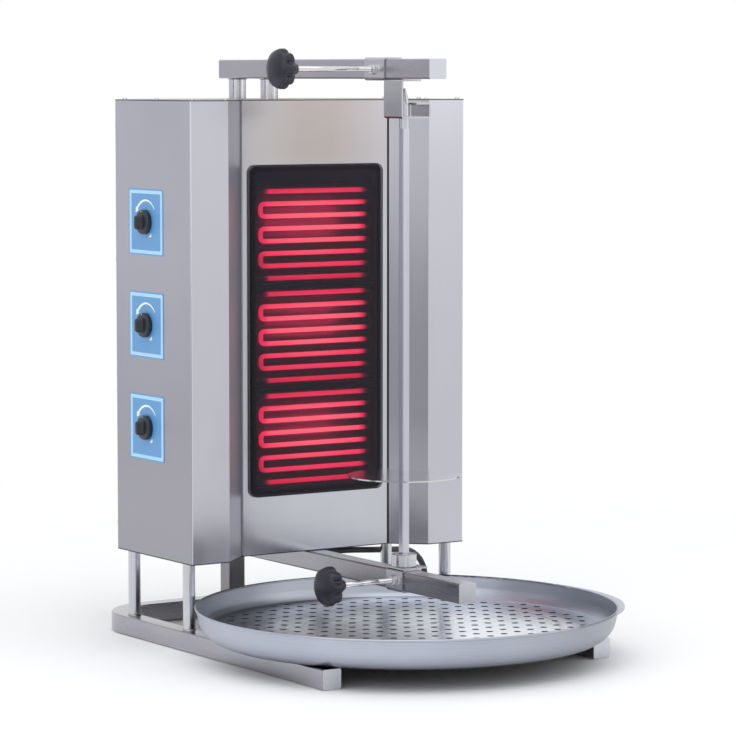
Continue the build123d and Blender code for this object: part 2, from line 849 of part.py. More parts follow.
save(spit_cup.part, "spit_cup")

# Spit: square bar with a round tip, and a pin through it that the meat disc rests on.
disc_pin_z = disc_bottom - disc_pin / 2 - running_gap
pin_plane = Plane((0, spit_y, disc_pin_z), (0, 1, 0), (1, 0, 0))
with BuildPart() as spit:
    with BuildSketch(Plane.XY.offset(spit_bottom)):
        with Locations((0, spit_y)):
            RectangleRounded(spit_side, spit_side, spit_edge)
    extrude(amount=tip_bottom - spit_bottom)
    with BuildSketch(Plane.XY.offset(tip_bottom)):
        with Locations((0, spit_y)):
            Circle(tip_diameter / 2)
    extrude(amount=tip_shoulder - tip_bottom)
    with Locations((0, spit_y, tip_shoulder)):
        point_height = tip_top - tip_shoulder
        point_align = (Align.CENTER, Align.CENTER, Align.MIN)
        Cone(tip_diameter / 2, tip_point / 2, point_height, align=point_align)
    drill([pin_plane], disc_pin + 2 * running_gap, spit_side)
save(spit.part, "spit")

with BuildPart() as disc_pin_bar:
    with BuildSketch(pin_plane):
        Circle(disc_pin / 2)
    extrude(amount=disc_pin_length / 2, both=True)
save(disc_pin_bar.part, "disc_pin")

with BuildPart() as meat_disc:
    with BuildSketch(Plane.XY.offset(disc_bottom)):
        with Locations((0, spit_y)):
            Circle(disc_diameter / 2)
            hole = spit_side + 2 * disc_gap
            RectangleRounded(hole, hole, spit_edge, mode=Mode.SUBTRACT)
    extrude(amount=disc_thick)
save(meat_disc.part, "meat_disc")

# Drip tray: spun sheet with a leaning wall, a rolled rim and a pouring lip on the right.
bead_x = tray_radius - tray_bead / 2
bead_z = tray_top - tray_bead / 2
with BuildPart() as drip_tray:
    with BuildSketch(Plane((0, tray_y, 0), (1, 0, 0), (0, -1, 0))):
        with BuildLine():
            wall_line = FilletPolyline(
                (0, tube), (tray_base_radius, tube), (bead_x, bead_z), radius=tray_corner
            )
            offset(wall_line, amount=tray_wall, side=Side.LEFT)
        make_face()
        with Locations((bead_x, bead_z)):
            Circle(tray_bead / 2)
    revolve(axis=Axis((0, tray_y, 0), (0, 0, 1)))
    with BuildSketch(Plane.XY.offset(bead_z - lip_thick / 2)):
        lip_away = tray_radius + lip_reach - lip_radius
        lip_turn = radians(lip_angle)
        with Locations((lip_away * cos(lip_turn), tray_y + lip_away * sin(lip_turn))):
            Circle(lip_radius)
        with Locations((0, tray_y)):
            Circle(bead_x, mode=Mode.SUBTRACT)
    extrude(amount=lip_thick)
save(drip_tray.part, "drip_tray")

# Strainer: perforated plate that seats in the curve of the tray's wall, so that it stays
# clear of the floor. Its holes stand in staggered rows.
wall_lean = atan2(bead_x - tray_base_radius, bead_z - tube)
curve_x = tray_base_radius - tray_corner * tan((pi / 2 - wall_lean) / 2)
curve_drop = tray_corner - strainer_lift
strainer_radius = curve_x + sqrt((tray_corner - tray_wall - loose_gap) ** 2 - curve_drop**2)
hole_limit = strainer_radius - strainer_margin
strainer_bottom = tube + strainer_lift
turn = radians(strainer_turn)
columns = int(hole_limit / strainer_column)
rows = int(hole_limit / strainer_row)
holes = []
for column in range(-columns, columns + 1):
    for row in range(-rows, rows + 1):
        place = (column * strainer_column, row * strainer_row)
        if (column + row) % 2 == 0 and hypot(*place) < hole_limit:
            holes.append(place)
with BuildPart() as strainer_plate:
    with BuildSketch(Plane((0, tray_y, strainer_bottom), (cos(turn), sin(turn), 0))):
        Circle(strainer_radius)
        with Locations(holes):
            RegularPolygon(strainer_hole / 2, 6, major_radius=False, mode=Mode.SUBTRACT)
    extrude(amount=strainer_thick)
save(strainer_plate.part, "strainer_plate")
print("strainer holes", len(holes))

# Gland: threaded through the pocket's roof, with its lock nut inside the housing.
gland_end = lead_route[0][2]
gland_seat = pocket_top - sheet
with BuildPart() as lead_gland:
    with BuildSketch(Plane.XY.offset(gland_seat)):
        with Locations(gland_place):
            RegularPolygon(gland_flats / 2, 6, major_radius=False)
    extrude(amount=-gland_body)
    with BuildSketch(Plane.XY.offset(gland_seat - gland_body)):
        with Locations(gland_place):
            Circle(gland_flats / 2 - sheet)
    with BuildSketch(Plane.XY.offset(gland_end)):
        with Locations(gland_place):
            Circle(gland_mouth / 2)
    loft()
    with BuildSketch(Plane.XY.offset(gland_seat)):
        with Locations(gland_place):
            Circle(gland_thread / 2)
    extrude(amount=sheet + gland_nut)
    with BuildSketch(Plane.XY.offset(pocket_top)):
        with Locations(gland_place):
            RegularPolygon(gland_flats / 2, 6, major_radius=False)
            Circle(gland_thread / 2 + running_gap, mode=Mode.SUBTRACT)
    extrude(amount=gland_nut)
save(lead_gland.part, "lead_gland")

# Terminal block: on the bottom plate beside the pocket.
with BuildPart() as terminal_block:
    with BuildSketch(Plane.XY.offset(shell_bottom)):
        with Locations((block_x, block_y)):
            Rectangle(block_length, block_width)
    extrude(amount=block_height)
    chamfer(terminal_block.edges().group_by(Axis.Z)[-1].filter_by(Axis.X), block_bevel)
    with BuildSketch(front_plane(block_y - block_width / 2)):
        with Locations((block_x, shell_bottom + block_height / 3)):
            with GridLocations(block_length / block_ways, 0, block_ways, 1):
                Rectangle(block_port, block_port)
    extrude(amount=-block_width, mode=Mode.SUBTRACT)
save(terminal_block.part, "terminal_block")

# Supply lead: straight runs joined by arcs as large as the runs allow.
route = [Vector(*point) for point in lead_route]
bends = []
for before, corner, after in zip(route, route[1:], route[2:]):
    shorter = min((corner - before).length, (after - corner).length)
    bend = radians((corner - before).get_angle(after - corner))
    bends.append(bend_share * shorter / tan(bend / 2))
with BuildPart() as supply_lead:
    with BuildLine() as lead_path:
        FilletPolyline(*lead_route, radius=bends)
    with BuildSketch(Plane(route[0], (1, 0, 0), (0, 0, -1))):
        Circle(lead_diameter / 2)
    sweep()
save(supply_lead.part, "supply_lead")
lead_length = lead_path.wires()[0].length
lead_section = pi * lead_diameter**2 / 4
print("lead bend radii", [round(bend) for bend in bends])
lead_ratio = supply_lead.part.volume / lead_section / lead_length
print("lead", round(lead_length), "volume ratio", lead_ratio)

# Coil: the rest of the lead, wound inwards on the table and out again on top of itself.
# Each half turn is a step smaller or larger than the last, and the climbing one is two
# tilted quarter arcs, as is the last one, which lifts the lead to the plug's axis.
turn_radii = [coil_radius - coil_step * place for place in range(coil_turns_in)]
climb_radius = turn_radii[-1] - coil_climb
coil_radii = turn_radii + [climb_radius] + turn_radii[:0:-1]
plug_lift = plug_diameter / 2 + running_gap - lead_route[-1][2] - coil_lift
rises = [0.0] * len(coil_radii)
rises[coil_turns_in] = coil_lift
rises[-1] = plug_lift
with BuildPart() as lead_coil:
    with BuildLine() as coil_path:
        point = route[-1]
        heading = Vector(0, -1, 0)
        Line(point, point + heading * lead_diameter)
        point = point + heading * lead_diameter
        side = Vector(1, 0, 0)
        for radius, rise in zip(coil_radii, rises):
            end = point + side * 2 * radius + Vector(0, 0, rise)
            if rise:
                reach = sqrt(radius**2 + rise**2 / 4)
                middle = (point + end) * 0.5 + heading * reach
                TangentArc(point, middle, tangent=heading)
                TangentArc(middle, end, tangent=end - point)
            else:
                TangentArc(point, end, tangent=heading)
            point = end
            heading = heading * -1
            side = side * -1
        Line(point, point + heading * coil_tail)
    with BuildSketch(Plane(route[-1], (1, 0, 0), (0, -1, 0))):
        Circle(lead_diameter / 2)
    sweep()
save(lead_coil.part, "lead_coil")
coil_wire = coil_path.wires()[0]
coil_length = coil_wire.length
tail_end = point + heading * coil_tail
samples = [coil_wire @ (place / coil_samples) for place in range(coil_samples + 1)]
apart = 2 * lead_diameter * coil_samples / coil_length
least = min(
    (first - second).length
    for place, first in enumerate(samples)
    for second in samples[place + int(apart):]
    if abs(first.X - second.X) + abs(first.Y - second.Y) < 2 * lead_diameter
)
print("coil", round(coil_length), "least gap to itself", round(least - lead_diameter, 2))
print("coil volume ratio", lead_coil.part.volume / lead_section / coil_length)
print("whole lead", round(lead_length + coil_length))

# Plug: moulded, with a tapered relief behind it and two round pins.
with BuildPart() as lead_plug:
    with BuildSketch(Plane(tail_end, (1, 0, 0), heading)):
        Circle(gland_mouth / 2)
    plug_back = tail_end + heading * plug_relief
    with BuildSketch(Plane(plug_back, (1, 0, 0), heading)):
        Circle(plug_neck / 2)
    loft()
    with BuildSketch(Plane(plug_back, (1, 0, 0), heading)):
        Circle(plug_diameter / 2)
    extrude(amount=plug_length)
    chamfer(lead_plug.edges().sort_by(SortBy.LENGTH)[-2:], plug_edge)
    with BuildSketch(Plane(plug_back + heading * plug_length, (1, 0, 0), heading)):
        with Locations((-pin_spacing / 2, 0), (pin_spacing / 2, 0)):
            Circle(pin_diameter / 2)
    extrude(amount=pin_length)
save(lead_plug.part, "lead_plug")
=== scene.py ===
from math import copysign, cos, hypot, pi, radians, sin, sqrt

import bmesh
import bpy
from mathutils import Matrix, Vector


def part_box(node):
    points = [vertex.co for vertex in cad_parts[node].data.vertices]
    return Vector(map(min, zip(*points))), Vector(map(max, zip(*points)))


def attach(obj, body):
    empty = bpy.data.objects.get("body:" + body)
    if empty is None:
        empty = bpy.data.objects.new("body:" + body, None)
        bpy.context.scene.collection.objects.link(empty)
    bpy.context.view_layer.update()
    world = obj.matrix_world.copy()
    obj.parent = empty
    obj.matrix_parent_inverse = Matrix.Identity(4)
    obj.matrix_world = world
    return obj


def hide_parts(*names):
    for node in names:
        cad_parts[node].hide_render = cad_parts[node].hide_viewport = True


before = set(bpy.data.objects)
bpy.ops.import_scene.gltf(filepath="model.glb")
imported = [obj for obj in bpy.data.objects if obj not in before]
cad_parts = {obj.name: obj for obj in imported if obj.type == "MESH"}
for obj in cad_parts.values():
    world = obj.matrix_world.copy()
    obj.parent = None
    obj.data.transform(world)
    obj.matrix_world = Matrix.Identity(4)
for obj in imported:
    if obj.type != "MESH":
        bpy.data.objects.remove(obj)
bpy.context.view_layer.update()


# The set: a pale table under plain soft light, seen from the photograph's place. Grey
# cards that only the steel sees give it the dark and light bands of the photograph.
camera_place = (-2.8343, -4.3282, 0.8798)
camera_turn = radians(33.193)
camera_dip = radians(4.958)
camera_lens = 166.68
film_width = 36.0
scene = bpy.context.scene
camera = bpy.data.objects.new("camera", bpy.data.cameras.new("camera"))
camera.data.lens = camera_lens
camera.data.sensor_width = film_width
camera.data.clip_end = 100.0
camera.location = camera_place
camera.rotation_euler = (pi / 2 - camera_dip, 0.0, -camera_turn)
scene.collection.objects.link(camera)
scene.camera = camera
scene.view_settings.view_transform = "Standard"


def wire(tree, source, socket, target, inlet):
    """Join one node's outlet to another's inlet."""
    tree.links.new(source.outputs[socket], target.inputs[inlet])


def sums(tree, operation, first, second=None, third=None):
    """Math node on values that are numbers or (node, socket) pairs."""
    node = tree.nodes.new("ShaderNodeMath")
    node.operation = operation
    for inlet, value in enumerate((first, second, third)):
        if isinstance(value, tuple):
            wire(tree, value[0], value[1], node, inlet)
        elif value is not None:
            node.inputs[inlet].default_value = value
    return node


room = bpy.data.worlds.new("room")
scene.world = room
room.use_nodes = True
air = room.node_tree
air.nodes.clear()
seen = air.nodes.new("ShaderNodeLightPath")
either = sums(air, "MAXIMUM", (seen, "Is Camera Ray"), (seen, "Is Glossy Ray"))
any_seen = sums(air, "MAXIMUM", (either, "Value"), (seen, "Is Transmission Ray"))
soft_light = air.nodes.new("ShaderNodeBackground")
soft_light.inputs["Color"].default_value = (0.97, 0.98, 1.0, 1.0)
soft_light.inputs["Strength"].default_value = 0.97
white_wall = air.nodes.new("ShaderNodeBackground")
white_wall.inputs["Color"].default_value = (1.0, 1.0, 1.0, 1.0)
white_wall.inputs["Strength"].default_value = 1.0
choose = air.nodes.new("ShaderNodeMixShader")
outlet = air.nodes.new("ShaderNodeOutputWorld")
wire(air, any_seen, "Value", choose, 0)
wire(air, soft_light, "Background", choose, 1)
wire(air, white_wall, "Background", choose, 2)
wire(air, choose, "Shader", outlet, "Surface")


def soft_lamp(name, place, target, size, power):
    """Square area lamp that looks at a point."""
    lamp = bpy.data.objects.new(name, bpy.data.lights.new(name, "AREA"))
    lamp.data.size = size
    lamp.data.energy = power
    lamp.location = place
    away = Vector(place) - Vector(target)
    lamp.rotation_euler = away.to_track_quat("Z", "Y").to_euler()
    scene.collection.objects.link(lamp)


lamp_target = (0, 0, 0.4)
soft_lamp("lamp_over", (-0.5, -1.0, 3.4), lamp_target, size=2.6, power=20)
soft_lamp("lamp_left", (-3.4, -1.2, 2.0), lamp_target, size=2.0, power=11)
soft_lamp("lamp_right", (2.8, -2.8, 1.7), lamp_target, size=2.0, power=8)


def flat_sheet(name, corners):
    """One flat face as an object."""
    mesh = bpy.data.meshes.new(name)
    mesh.from_pydata(corners, [], [tuple(range(len(corners)))])
    sheet = bpy.data.objects.new(name, mesh)
    scene.collection.objects.link(sheet)
    return sheet


def card(name, middle, facing, width, height, shade):
    """Upright card of an even shade that lights nothing and shows only in reflections."""
    ahead = Vector((*facing, 0)).normalized()
    across = Vector((-ahead.y, ahead.x, 0)) * width / 2
    up = Vector((0, 0, height / 2))
    centre = Vector(middle)
    sheet = flat_sheet(name, [centre + across * a + up * b for a, b in corner_sides])
    paint = bpy.data.materials.new(name)
    paint.use_nodes = True
    tree = paint.node_tree
    tree.nodes.clear()
    lit = tree.nodes.new("ShaderNodeEmission")
    lit.inputs["Color"].default_value = (*shade, 1.0)
    end = tree.nodes.new("ShaderNodeOutputMaterial")
    wire(tree, lit, "Emission", end, "Surface")
    sheet.data.materials.append(paint)
    sheet.visible_camera = False
    sheet.visible_diffuse = False
    sheet.visible_transmission = False
    sheet.visible_shadow = False


corner_sides = ((-1, -1), (1, -1), (1, 1), (-1, 1))
card("card_rear_left", (-1.6, 2.0, 0.6), (0.55, -0.84), 2.4, 2.6, (0.78, 0.78, 0.82))
card("card_front_left", (-1.25, -0.98, -0.2), (0.78, 0.62), 1.5, 1.5, (0.38, 0.38, 0.39))
card("card_right", (1.9, 0.7, 0.6), (-0.94, -0.34), 0.7, 2.6, (0.16, 0.16, 0.17))
card("card_left", (-2.0, 0.2, 0.6), (1.0, -0.1), 0.5, 2.6, (0.2, 0.2, 0.21))


def spread(tree, source, socket, low, high, start=0.3, end=0.7):
    """Turn a value between start and end into one between low and high."""
    remap = tree.nodes.new("ShaderNodeMapRange")
    remap.inputs["From Min"].default_value = start
    remap.inputs["From Max"].default_value = end
    remap.inputs["To Min"].default_value = low
    remap.inputs["To Max"].default_value = high
    wire(tree, source, socket, remap, "Value")
    return remap


def new_material(name):
    """New material with its node tree and its shader."""
    made = bpy.data.materials.new(name)
    made.use_nodes = True
    return made, made.node_tree, made.node_tree.nodes["Principled BSDF"]


floor_half = 9.0
floor_top = -0.0006
shadow_end, white_start = 0.6, 2.2
floor = flat_sheet("floor", [(a * floor_half, b * floor_half, floor_top) for a, b in corner_sides])
pale, floor_tree, pale_paint = new_material("pale_floor")
pale_paint.inputs["Base Color"].default_value = (0.97, 0.97, 0.97, 1.0)
pale_paint.inputs["Roughness"].default_value = 0.9
floor_place = floor_tree.nodes.new("ShaderNodeTexCoord")
from_middle = floor_tree.nodes.new("ShaderNodeVectorMath")
from_middle.operation = "LENGTH"
far_white = floor_tree.nodes.new("ShaderNodeEmission")
fade = floor_tree.nodes.new("ShaderNodeMixShader")
wire(floor_tree, floor_place, "Object", from_middle, "Vector")
far_off = spread(floor_tree, from_middle, "Value", 0.0, 1.0, shadow_end, white_start)
wire(floor_tree, far_off, "Result", fade, 0)
wire(floor_tree, pale_paint, "BSDF", fade, 1)
wire(floor_tree, far_white, "Emission", fade, 2)
wire(floor_tree, fade, "Shader", floor_tree.nodes["Material Output"], "Surface")
floor.data.materials.append(pale)


# Base frame: one length of square stainless tube bent into a U, brushed along its length.
# Flat plates are welded over its open ends and those of the two arms.
def grain(tree, scale, detail=2.0, rough=0.5):
    """Noise in the part's own frame. Its scales along X, Y and Z set how it is drawn out."""
    place = tree.nodes.new("ShaderNodeTexCoord")
    stretch = tree.nodes.new("ShaderNodeMapping")
    stretch.inputs["Scale"].default_value = scale
    noise = tree.nodes.new("ShaderNodeTexNoise")
    noise.inputs["Scale"].default_value = 1.0
    noise.inputs["Detail"].default_value = detail
    noise.inputs["Roughness"].default_value = rough
    wire(tree, place, "Object", stretch, "Vector")
    wire(tree, stretch, "Vector", noise, "Vector")
    return noise


def two_tones(tree, factor, socket, first, second):
    """Mix two colours by a value. Its colour comes out of socket 2."""
    mix = tree.nodes.new("ShaderNodeMix")
    mix.data_type = "RGBA"
    mix.inputs[6].default_value = (*first, 1.0)
    mix.inputs[7].default_value = (*second, 1.0)
    wire(tree, factor, socket, mix, 0)
    return mix


def roughen(tree, paint, noise, strength, depth):
    """Bump a surface by a noise."""
    relief = tree.nodes.new("ShaderNodeBump")
    relief.inputs["Strength"].default_value = strength
    relief.inputs["Distance"].default_value = depth
    wire(tree, noise, "Fac", relief, "Height")
    wire(tree, relief, "Normal", paint, "Normal")


def steel(name, dark, light, brushing, rough, bump=0.05, streak=0.35):
    """Stainless steel: fine brushed lines, and a slow change of tone across the sheet."""
    made, tree, metal = new_material(name)
    metal.inputs["Metallic"].default_value = 1.0
    lines = grain(tree, brushing, 3.0, 0.6)
    slow = grain(tree, (5.0, 5.0, 3.0))
    part_slow = sums(tree, "MULTIPLY", (slow, "Fac"), 1.0 - streak)
    both = sums(tree, "MULTIPLY_ADD", (lines, "Fac"), streak, (part_slow, "Value"))
    tone = spread(tree, both, "Value", 0.0, 1.0, 0.35, 0.65)
    colour = two_tones(tree, tone, "Result", dark, light)
    wire(tree, colour, 2, metal, "Base Color")
    gloss = spread(tree, lines, "Fac", rough - 0.1 * streak, rough + 0.15 * streak)
    wire(tree, gloss, "Result", metal, "Roughness")
    roughen(tree, metal, lines, bump, 0.0004)
    return made


def dress(material, *nodes):
    """Give CAD nodes a material."""
    for name in nodes:
        piece = bpy.data.objects[name]
        if not piece.material_slots:
            piece.data.materials.append(material)
        for socket in piece.material_slots:
            socket.material = material


def axes_of(tree):
    """X, Y and Z of a spot in the part's own frame."""
    place = tree.nodes.new("ShaderNodeTexCoord")
    axes = tree.nodes.new("ShaderNodeSeparateXYZ")
    wire(tree, place, "Object", axes, "Vector")
    return axes


bend_start, bend_end = 0.37, 0.39
frame_steel = steel(
    "frame_steel", (0.4, 0.39, 0.425), (0.46, 0.45, 0.49), (420, 7, 420), 0.26, 0.02, 0.15
)
frame_tree = frame_steel.node_tree
along_sides = frame_tree.nodes["Mapping"]
across_rear = frame_tree.nodes.new("ShaderNodeMapping")
across_rear.inputs["Scale"].default_value = (7, 420, 420)
wire(frame_tree, frame_tree.nodes["Texture Coordinate"], "Object", across_rear, "Vector")
past_bends = spread(frame_tree, axes_of(frame_tree), "Y", 0.0, 1.0, bend_start, bend_end)
turned = frame_tree.nodes.new("ShaderNodeMix")
turned.data_type = "VECTOR"
wire(frame_tree, past_bends, "Result", turned, 0)
wire(frame_tree, along_sides, "Vector", turned, 4)
wire(frame_tree, across_rear, "Vector", turned, 5)
wire(frame_tree, turned, 1, frame_tree.nodes["Noise Texture"], "Vector")
cap_steel = steel("cap_steel", (0.54, 0.55, 0.6), (0.62, 0.63, 0.67), (420, 60, 420), 0.36)
dress(frame_steel, "base_frame")
dress(cap_steel, "tube_end_caps")

# Legs: polished round tube, welded at the foot to the side rails and at the head to the
# housing's bottom plate. A small bead of weld runs round each foot.
weld_bulge = 0.0016
weld_wave = 0.03
weld_waves = 14
weld_steel = steel("weld_steel", (0.36, 0.35, 0.34), (0.52, 0.51, 0.5), (260, 260, 260), 0.32, 0.3)
round_steel = steel(
    "round_steel", (0.54, 0.54, 0.58), (0.62, 0.62, 0.66), (220, 220, 7), 0.2, 0.02
)


def finish_mesh(name, mesh, material, body, crease=35.0):
    """Link a new mesh as a piece that rides a body, smooth but for its sharp edges."""
    mesh.shade_smooth()
    mesh.set_sharp_from_angle(angle=radians(crease))
    mesh.materials.append(material)
    piece = bpy.data.objects.new(name, mesh)
    scene.collection.objects.link(piece)
    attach(piece, body)
    return piece


def ring_faces(count, rings, first=0):
    """Faces between rings of as many points each, whose points start at an index."""
    faces = []
    for ring in range(rings - 1):
        for step in range(count):
            low = first + ring * count
            after = (step + 1) % count
            faces.append((low + step, low + after, low + count + after, low + count + step))
    return faces


def beads(name, centres, radius, axis, body):
    """Beads of weld round several like tubes, each a ring square to the axis."""
    around, across = 40, 8
    points, faces = [], []
    turn = Vector(axis).to_track_quat("Z", "Y")
    for centre in centres:
        first = len(points)
        for place in range(across + 1):
            lean = 2 * pi * place / across
            reach = radius + weld_bulge * cos(lean)
            for step in range(around):
                angle = 2 * pi * step / around
                rise = weld_bulge * sin(lean) * (1 + weld_wave * sin(weld_waves * angle))
                flat = Vector((reach * cos(angle), reach * sin(angle), rise))
                points.append(Vector(centre) + turn @ flat)
        faces += ring_faces(around, across + 1, first)
    mesh = bpy.data.meshes.new(name)
    mesh.from_pydata(points, [], faces)
    finish_mesh(name, mesh, weld_steel, body, 80.0)


def weld_tubes(name, tubes, at_head):
    """Beads of weld round the feet or the heads of like upright tubes of the frame."""
    ends = []
    for tube in tubes:
        low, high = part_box(tube)
        end = high if at_head else low
        ends.append(((low[0] + high[0]) / 2, (low[1] + high[1]) / 2, end[2]))
    beads(name, ends, (high[0] - low[0]) / 2, (0, 0, 1), "frame")


leg_names = ("leg_front_left", "leg_front_right", "leg_rear_left", "leg_rear_right")
dress(round_steel, *leg_names)
weld_tubes("leg_welds", leg_names, at_head=False)

# Rear column and arms: square tube like the frame's. The lower arm is welded to the
# column, and the upper one stands on two polished posts that are welded under it. The
# column and the lower arm take darker copies of the frame's steel, as painted shade.
# Painted shade: the column and the lower arm get darker copies of the frame's steel.
column_shaded_steel = steel(
    "column_shaded_steel", (0.24, 0.235, 0.25), (0.3, 0.295, 0.31), (420, 420, 8), 0.3, 0.02, 0.2
)
arm_shaded_steel = steel(
    "arm_shaded_steel", (0.32, 0.315, 0.335), (0.37, 0.365, 0.39), (500, 9, 500), 0.26, 0.02, 0.15
)
post_names = ("arm_post_front", "arm_post_rear")
dress(column_shaded_steel, "rear_column")
dress(arm_shaded_steel, "lower_arm")
dress(frame_steel, "upper_arm")
dress(round_steel, *post_names)
weld_tubes("post_welds", post_names, at_head=True)

# Inside the housing: a folded bracket under the cover that the posts stand on, and a
# folded channel that carries it down the rear wall to the column.
inner_steel = steel("inner_steel", (0.34, 0.34, 0.34), (0.44, 0.44, 0.44), (60, 60, 60), 0.42)
dress(inner_steel, "post_bracket", "spine_channel")


# Housing sides: thin brushed stainless sheet. Each is folded from one piece. A painted
# highlight brightens its front fold, painted shade darkens it towards its foot, and painted
# shade makes the gap by the centre panel dark.
def colour_of(tree):
    """A steel's shader, and the node that its colour comes from."""
    metal = tree.nodes["Principled BSDF"]
    return metal, metal.inputs["Base Color"].links[0].from_node


def tinted(tree, base, mask, socket, shade, blend="MIX"):
    """Bring a shade into a colour where a mask is 1. Its colour comes out of socket 2."""
    mix = tree.nodes.new("ShaderNodeMix")
    mix.data_type = "RGBA"
    mix.blend_type = blend
    mix.inputs[7].default_value = (*shade, 1.0)
    wire(tree, mask, socket, mix, 0)
    wire(tree, base, 2, mix, 6)
    return mix


side_half = 0.250
corner_inner, corner_outer = side_half - 0.0022, side_half - 0.0016
corner_front, corner_rear = 0.1114, 0.1124
shell_foot, dusk_top = 0.13, 0.6
gap_front, gap_rear = 0.1524, 0.1529
gap_inner, gap_outer = 0.1372, 0.1378
cheek_left, cheek_right = -0.1836, -0.1
cheek_dull = 0.14
side_steel = steel(
    "side_steel", (0.5, 0.5, 0.55), (0.53, 0.53, 0.58), (240, 240, 2.5), 0.24, 0.003, 0.1
)
side_tree = side_steel.node_tree
side_metal, side_colour = colour_of(side_tree)
side_axes = axes_of(side_tree)
side_aside = sums(side_tree, "ABSOLUTE", (side_axes, "X"))
# Painted highlight: the front fold of each shell is made brighter.
at_side = spread(side_tree, side_aside, "Value", 0.0, 1.0, corner_inner, corner_outer)
at_front = spread(side_tree, side_axes, "Y", 1.0, 0.0, corner_front, corner_rear)
at_fold = sums(side_tree, "MULTIPLY", (at_side, "Result"), (at_front, "Result"))
painted_fold_highlight = tinted(side_tree, side_colour, at_fold, "Value", (0.68, 0.68, 0.74))
# Painted shade: the outer faces darken towards the foot.
far_side = spread(side_tree, side_aside, "Value", 0.0, 1.0, side_half - 0.001, side_half - 0.0005)
low_down = spread(side_tree, side_axes, "Z", 1.0, 0.0, shell_foot, dusk_top)
at_foot = sums(side_tree, "MULTIPLY", (far_side, "Result"), (low_down, "Result"))
painted_foot_shade = tinted(side_tree, painted_fold_highlight, at_foot, "Value", (0.34, 0.335, 0.37))
# Painted shade: the gap by the centre panel is made near black, more on the right.
behind = spread(side_tree, side_axes, "Y", 0.0, 1.0, gap_front, gap_rear)
near_middle = spread(side_tree, side_aside, "Value", 1.0, 0.0, gap_inner, gap_outer)
right_more = spread(side_tree, side_axes, "X", 0.25, 1.0, 0.0, 0.01)
deep_in = sums(side_tree, "MULTIPLY", (behind, "Result"), (near_middle, "Result"))
in_gap = sums(side_tree, "MULTIPLY", (deep_in, "Value"), (right_more, "Result"))
shaded = tinted(side_tree, painted_foot_shade, in_gap, "Value", (0.05, 0.045, 0.04))
wire(side_tree, shaded, 2, side_metal, "Base Color")
side_gloss = side_metal.inputs["Roughness"].links[0].from_node
past_fold = spread(side_tree, side_axes, "X", 0.0, 1.0, cheek_left, cheek_left + 0.0006)
on_cheek = spread(side_tree, side_axes, "X", cheek_dull, 0.0, cheek_right, cheek_right + 0.01)
duller = sums(
    side_tree, "MULTIPLY_ADD", (past_fold, "Result"), (on_cheek, "Result"), (side_gloss, "Result")
)
wire(side_tree, duller, "Value", side_metal, "Roughness")
dress(side_steel, "side_shell_left", "side_shell_right")


# Housing's other sheets: a flat cover whose edge is painted dark as shade, a back panel with
# vents, a bottom plate painted near black as shade, and the centre panel, which heat has
# tinged above the window.
def facing_of(tree):
    """X, Y and Z of the way that a spot faces."""
    way = tree.nodes.new("ShaderNodeNewGeometry")
    axes = tree.nodes.new("ShaderNodeSeparateXYZ")
    wire(tree, way, "Normal", axes, "Vector")
    return axes


rear_steel = steel("rear_steel", (0.42, 0.42, 0.43), (0.5, 0.5, 0.51), (240, 240, 3), 0.34, 0.03)
dress(rear_steel, "back_panel")
cover_steel = steel(
    "cover_steel", (0.26, 0.26, 0.27), (0.38, 0.38, 0.39), (4, 300, 300), 0.36, 0.03
)
cover_tree = cover_steel.node_tree
cover_metal, cover_colour = colour_of(cover_tree)
# Painted shade: the cover's edge faces are made near black.
cover_flat = sums(cover_tree, "ABSOLUTE", (facing_of(cover_tree), "Z"))
cover_edge = spread(cover_tree, cover_flat, "Value", 1.0, 0.0, 0.3, 0.7)
painted_edge_shade = tinted(cover_tree, cover_colour, cover_edge, "Result", (0.07, 0.07, 0.075))
wire(cover_tree, painted_edge_shade, 2, cover_metal, "Base Color")
dress(cover_steel, "top_cover")
# Painted shade: the bottom plate is made near black.
shaded_underside_steel = steel(
    "shaded_underside_steel", (0.03, 0.03, 0.036), (0.06, 0.06, 0.07), (40, 40, 40), 0.5
)
dress(shaded_underside_steel, "bottom_plate")
panel_steel = steel(
    "panel_steel", (0.49, 0.495, 0.54), (0.52, 0.525, 0.57), (240, 240, 2.5), 0.21, 0.003, 0.1
)
heat_low, heat_high = 0.62, 0.76
heat_inner, heat_outer = 0.03, 0.125
panel_tree = panel_steel.node_tree
panel_metal, panel_colour = colour_of(panel_tree)
panel_axes = axes_of(panel_tree)
high_up = spread(panel_tree, panel_axes, "Z", 0.0, 1.0, heat_low, heat_high)
panel_aside = sums(panel_tree, "ABSOLUTE", (panel_axes, "X"))
middle = spread(panel_tree, panel_aside, "Value", 1.0, 0.5, heat_inner, heat_outer)
warmth = sums(panel_tree, "MULTIPLY", (high_up, "Result"), (middle, "Result"))
warm = tinted(panel_tree, panel_colour, warmth, "Value", (0.82, 0.74, 0.66), "MULTIPLY")
wire(panel_tree, warm, 2, panel_metal, "Base Color")
dress(panel_steel, "centre_panel")

# Screws of the cover and the back panel: zinc-plated steel with tapered pan heads. They hold
# the two sheets to the side shells.
screw_steel = steel(
    "screw_steel", (0.46, 0.46, 0.46), (0.62, 0.62, 0.62), (300, 300, 300), 0.25
)
dress(screw_steel, "cover_screws", "back_screws")


# Window: a dark ceramic pane with a ground edge. It lies in front of the centre panel's
# opening, pressed on a black rubber seal.
def moulded(name, dark, light, rough, bump=0.25, scale=900):
    """Plastic, rubber or ceramic with a fine grain."""
    made, tree, body = new_material(name)
    fine = grain(tree, (scale, scale, scale), 3.0, 0.6)
    colour = two_tones(tree, fine, "Fac", dark, light)
    wire(tree, colour, 2, body, "Base Color")
    gloss = spread(tree, fine, "Fac", rough - 0.05, rough + 0.08)
    wire(tree, gloss, "Result", body, "Roughness")
    roughen(tree, body, fine, bump, 0.0002)
    return made


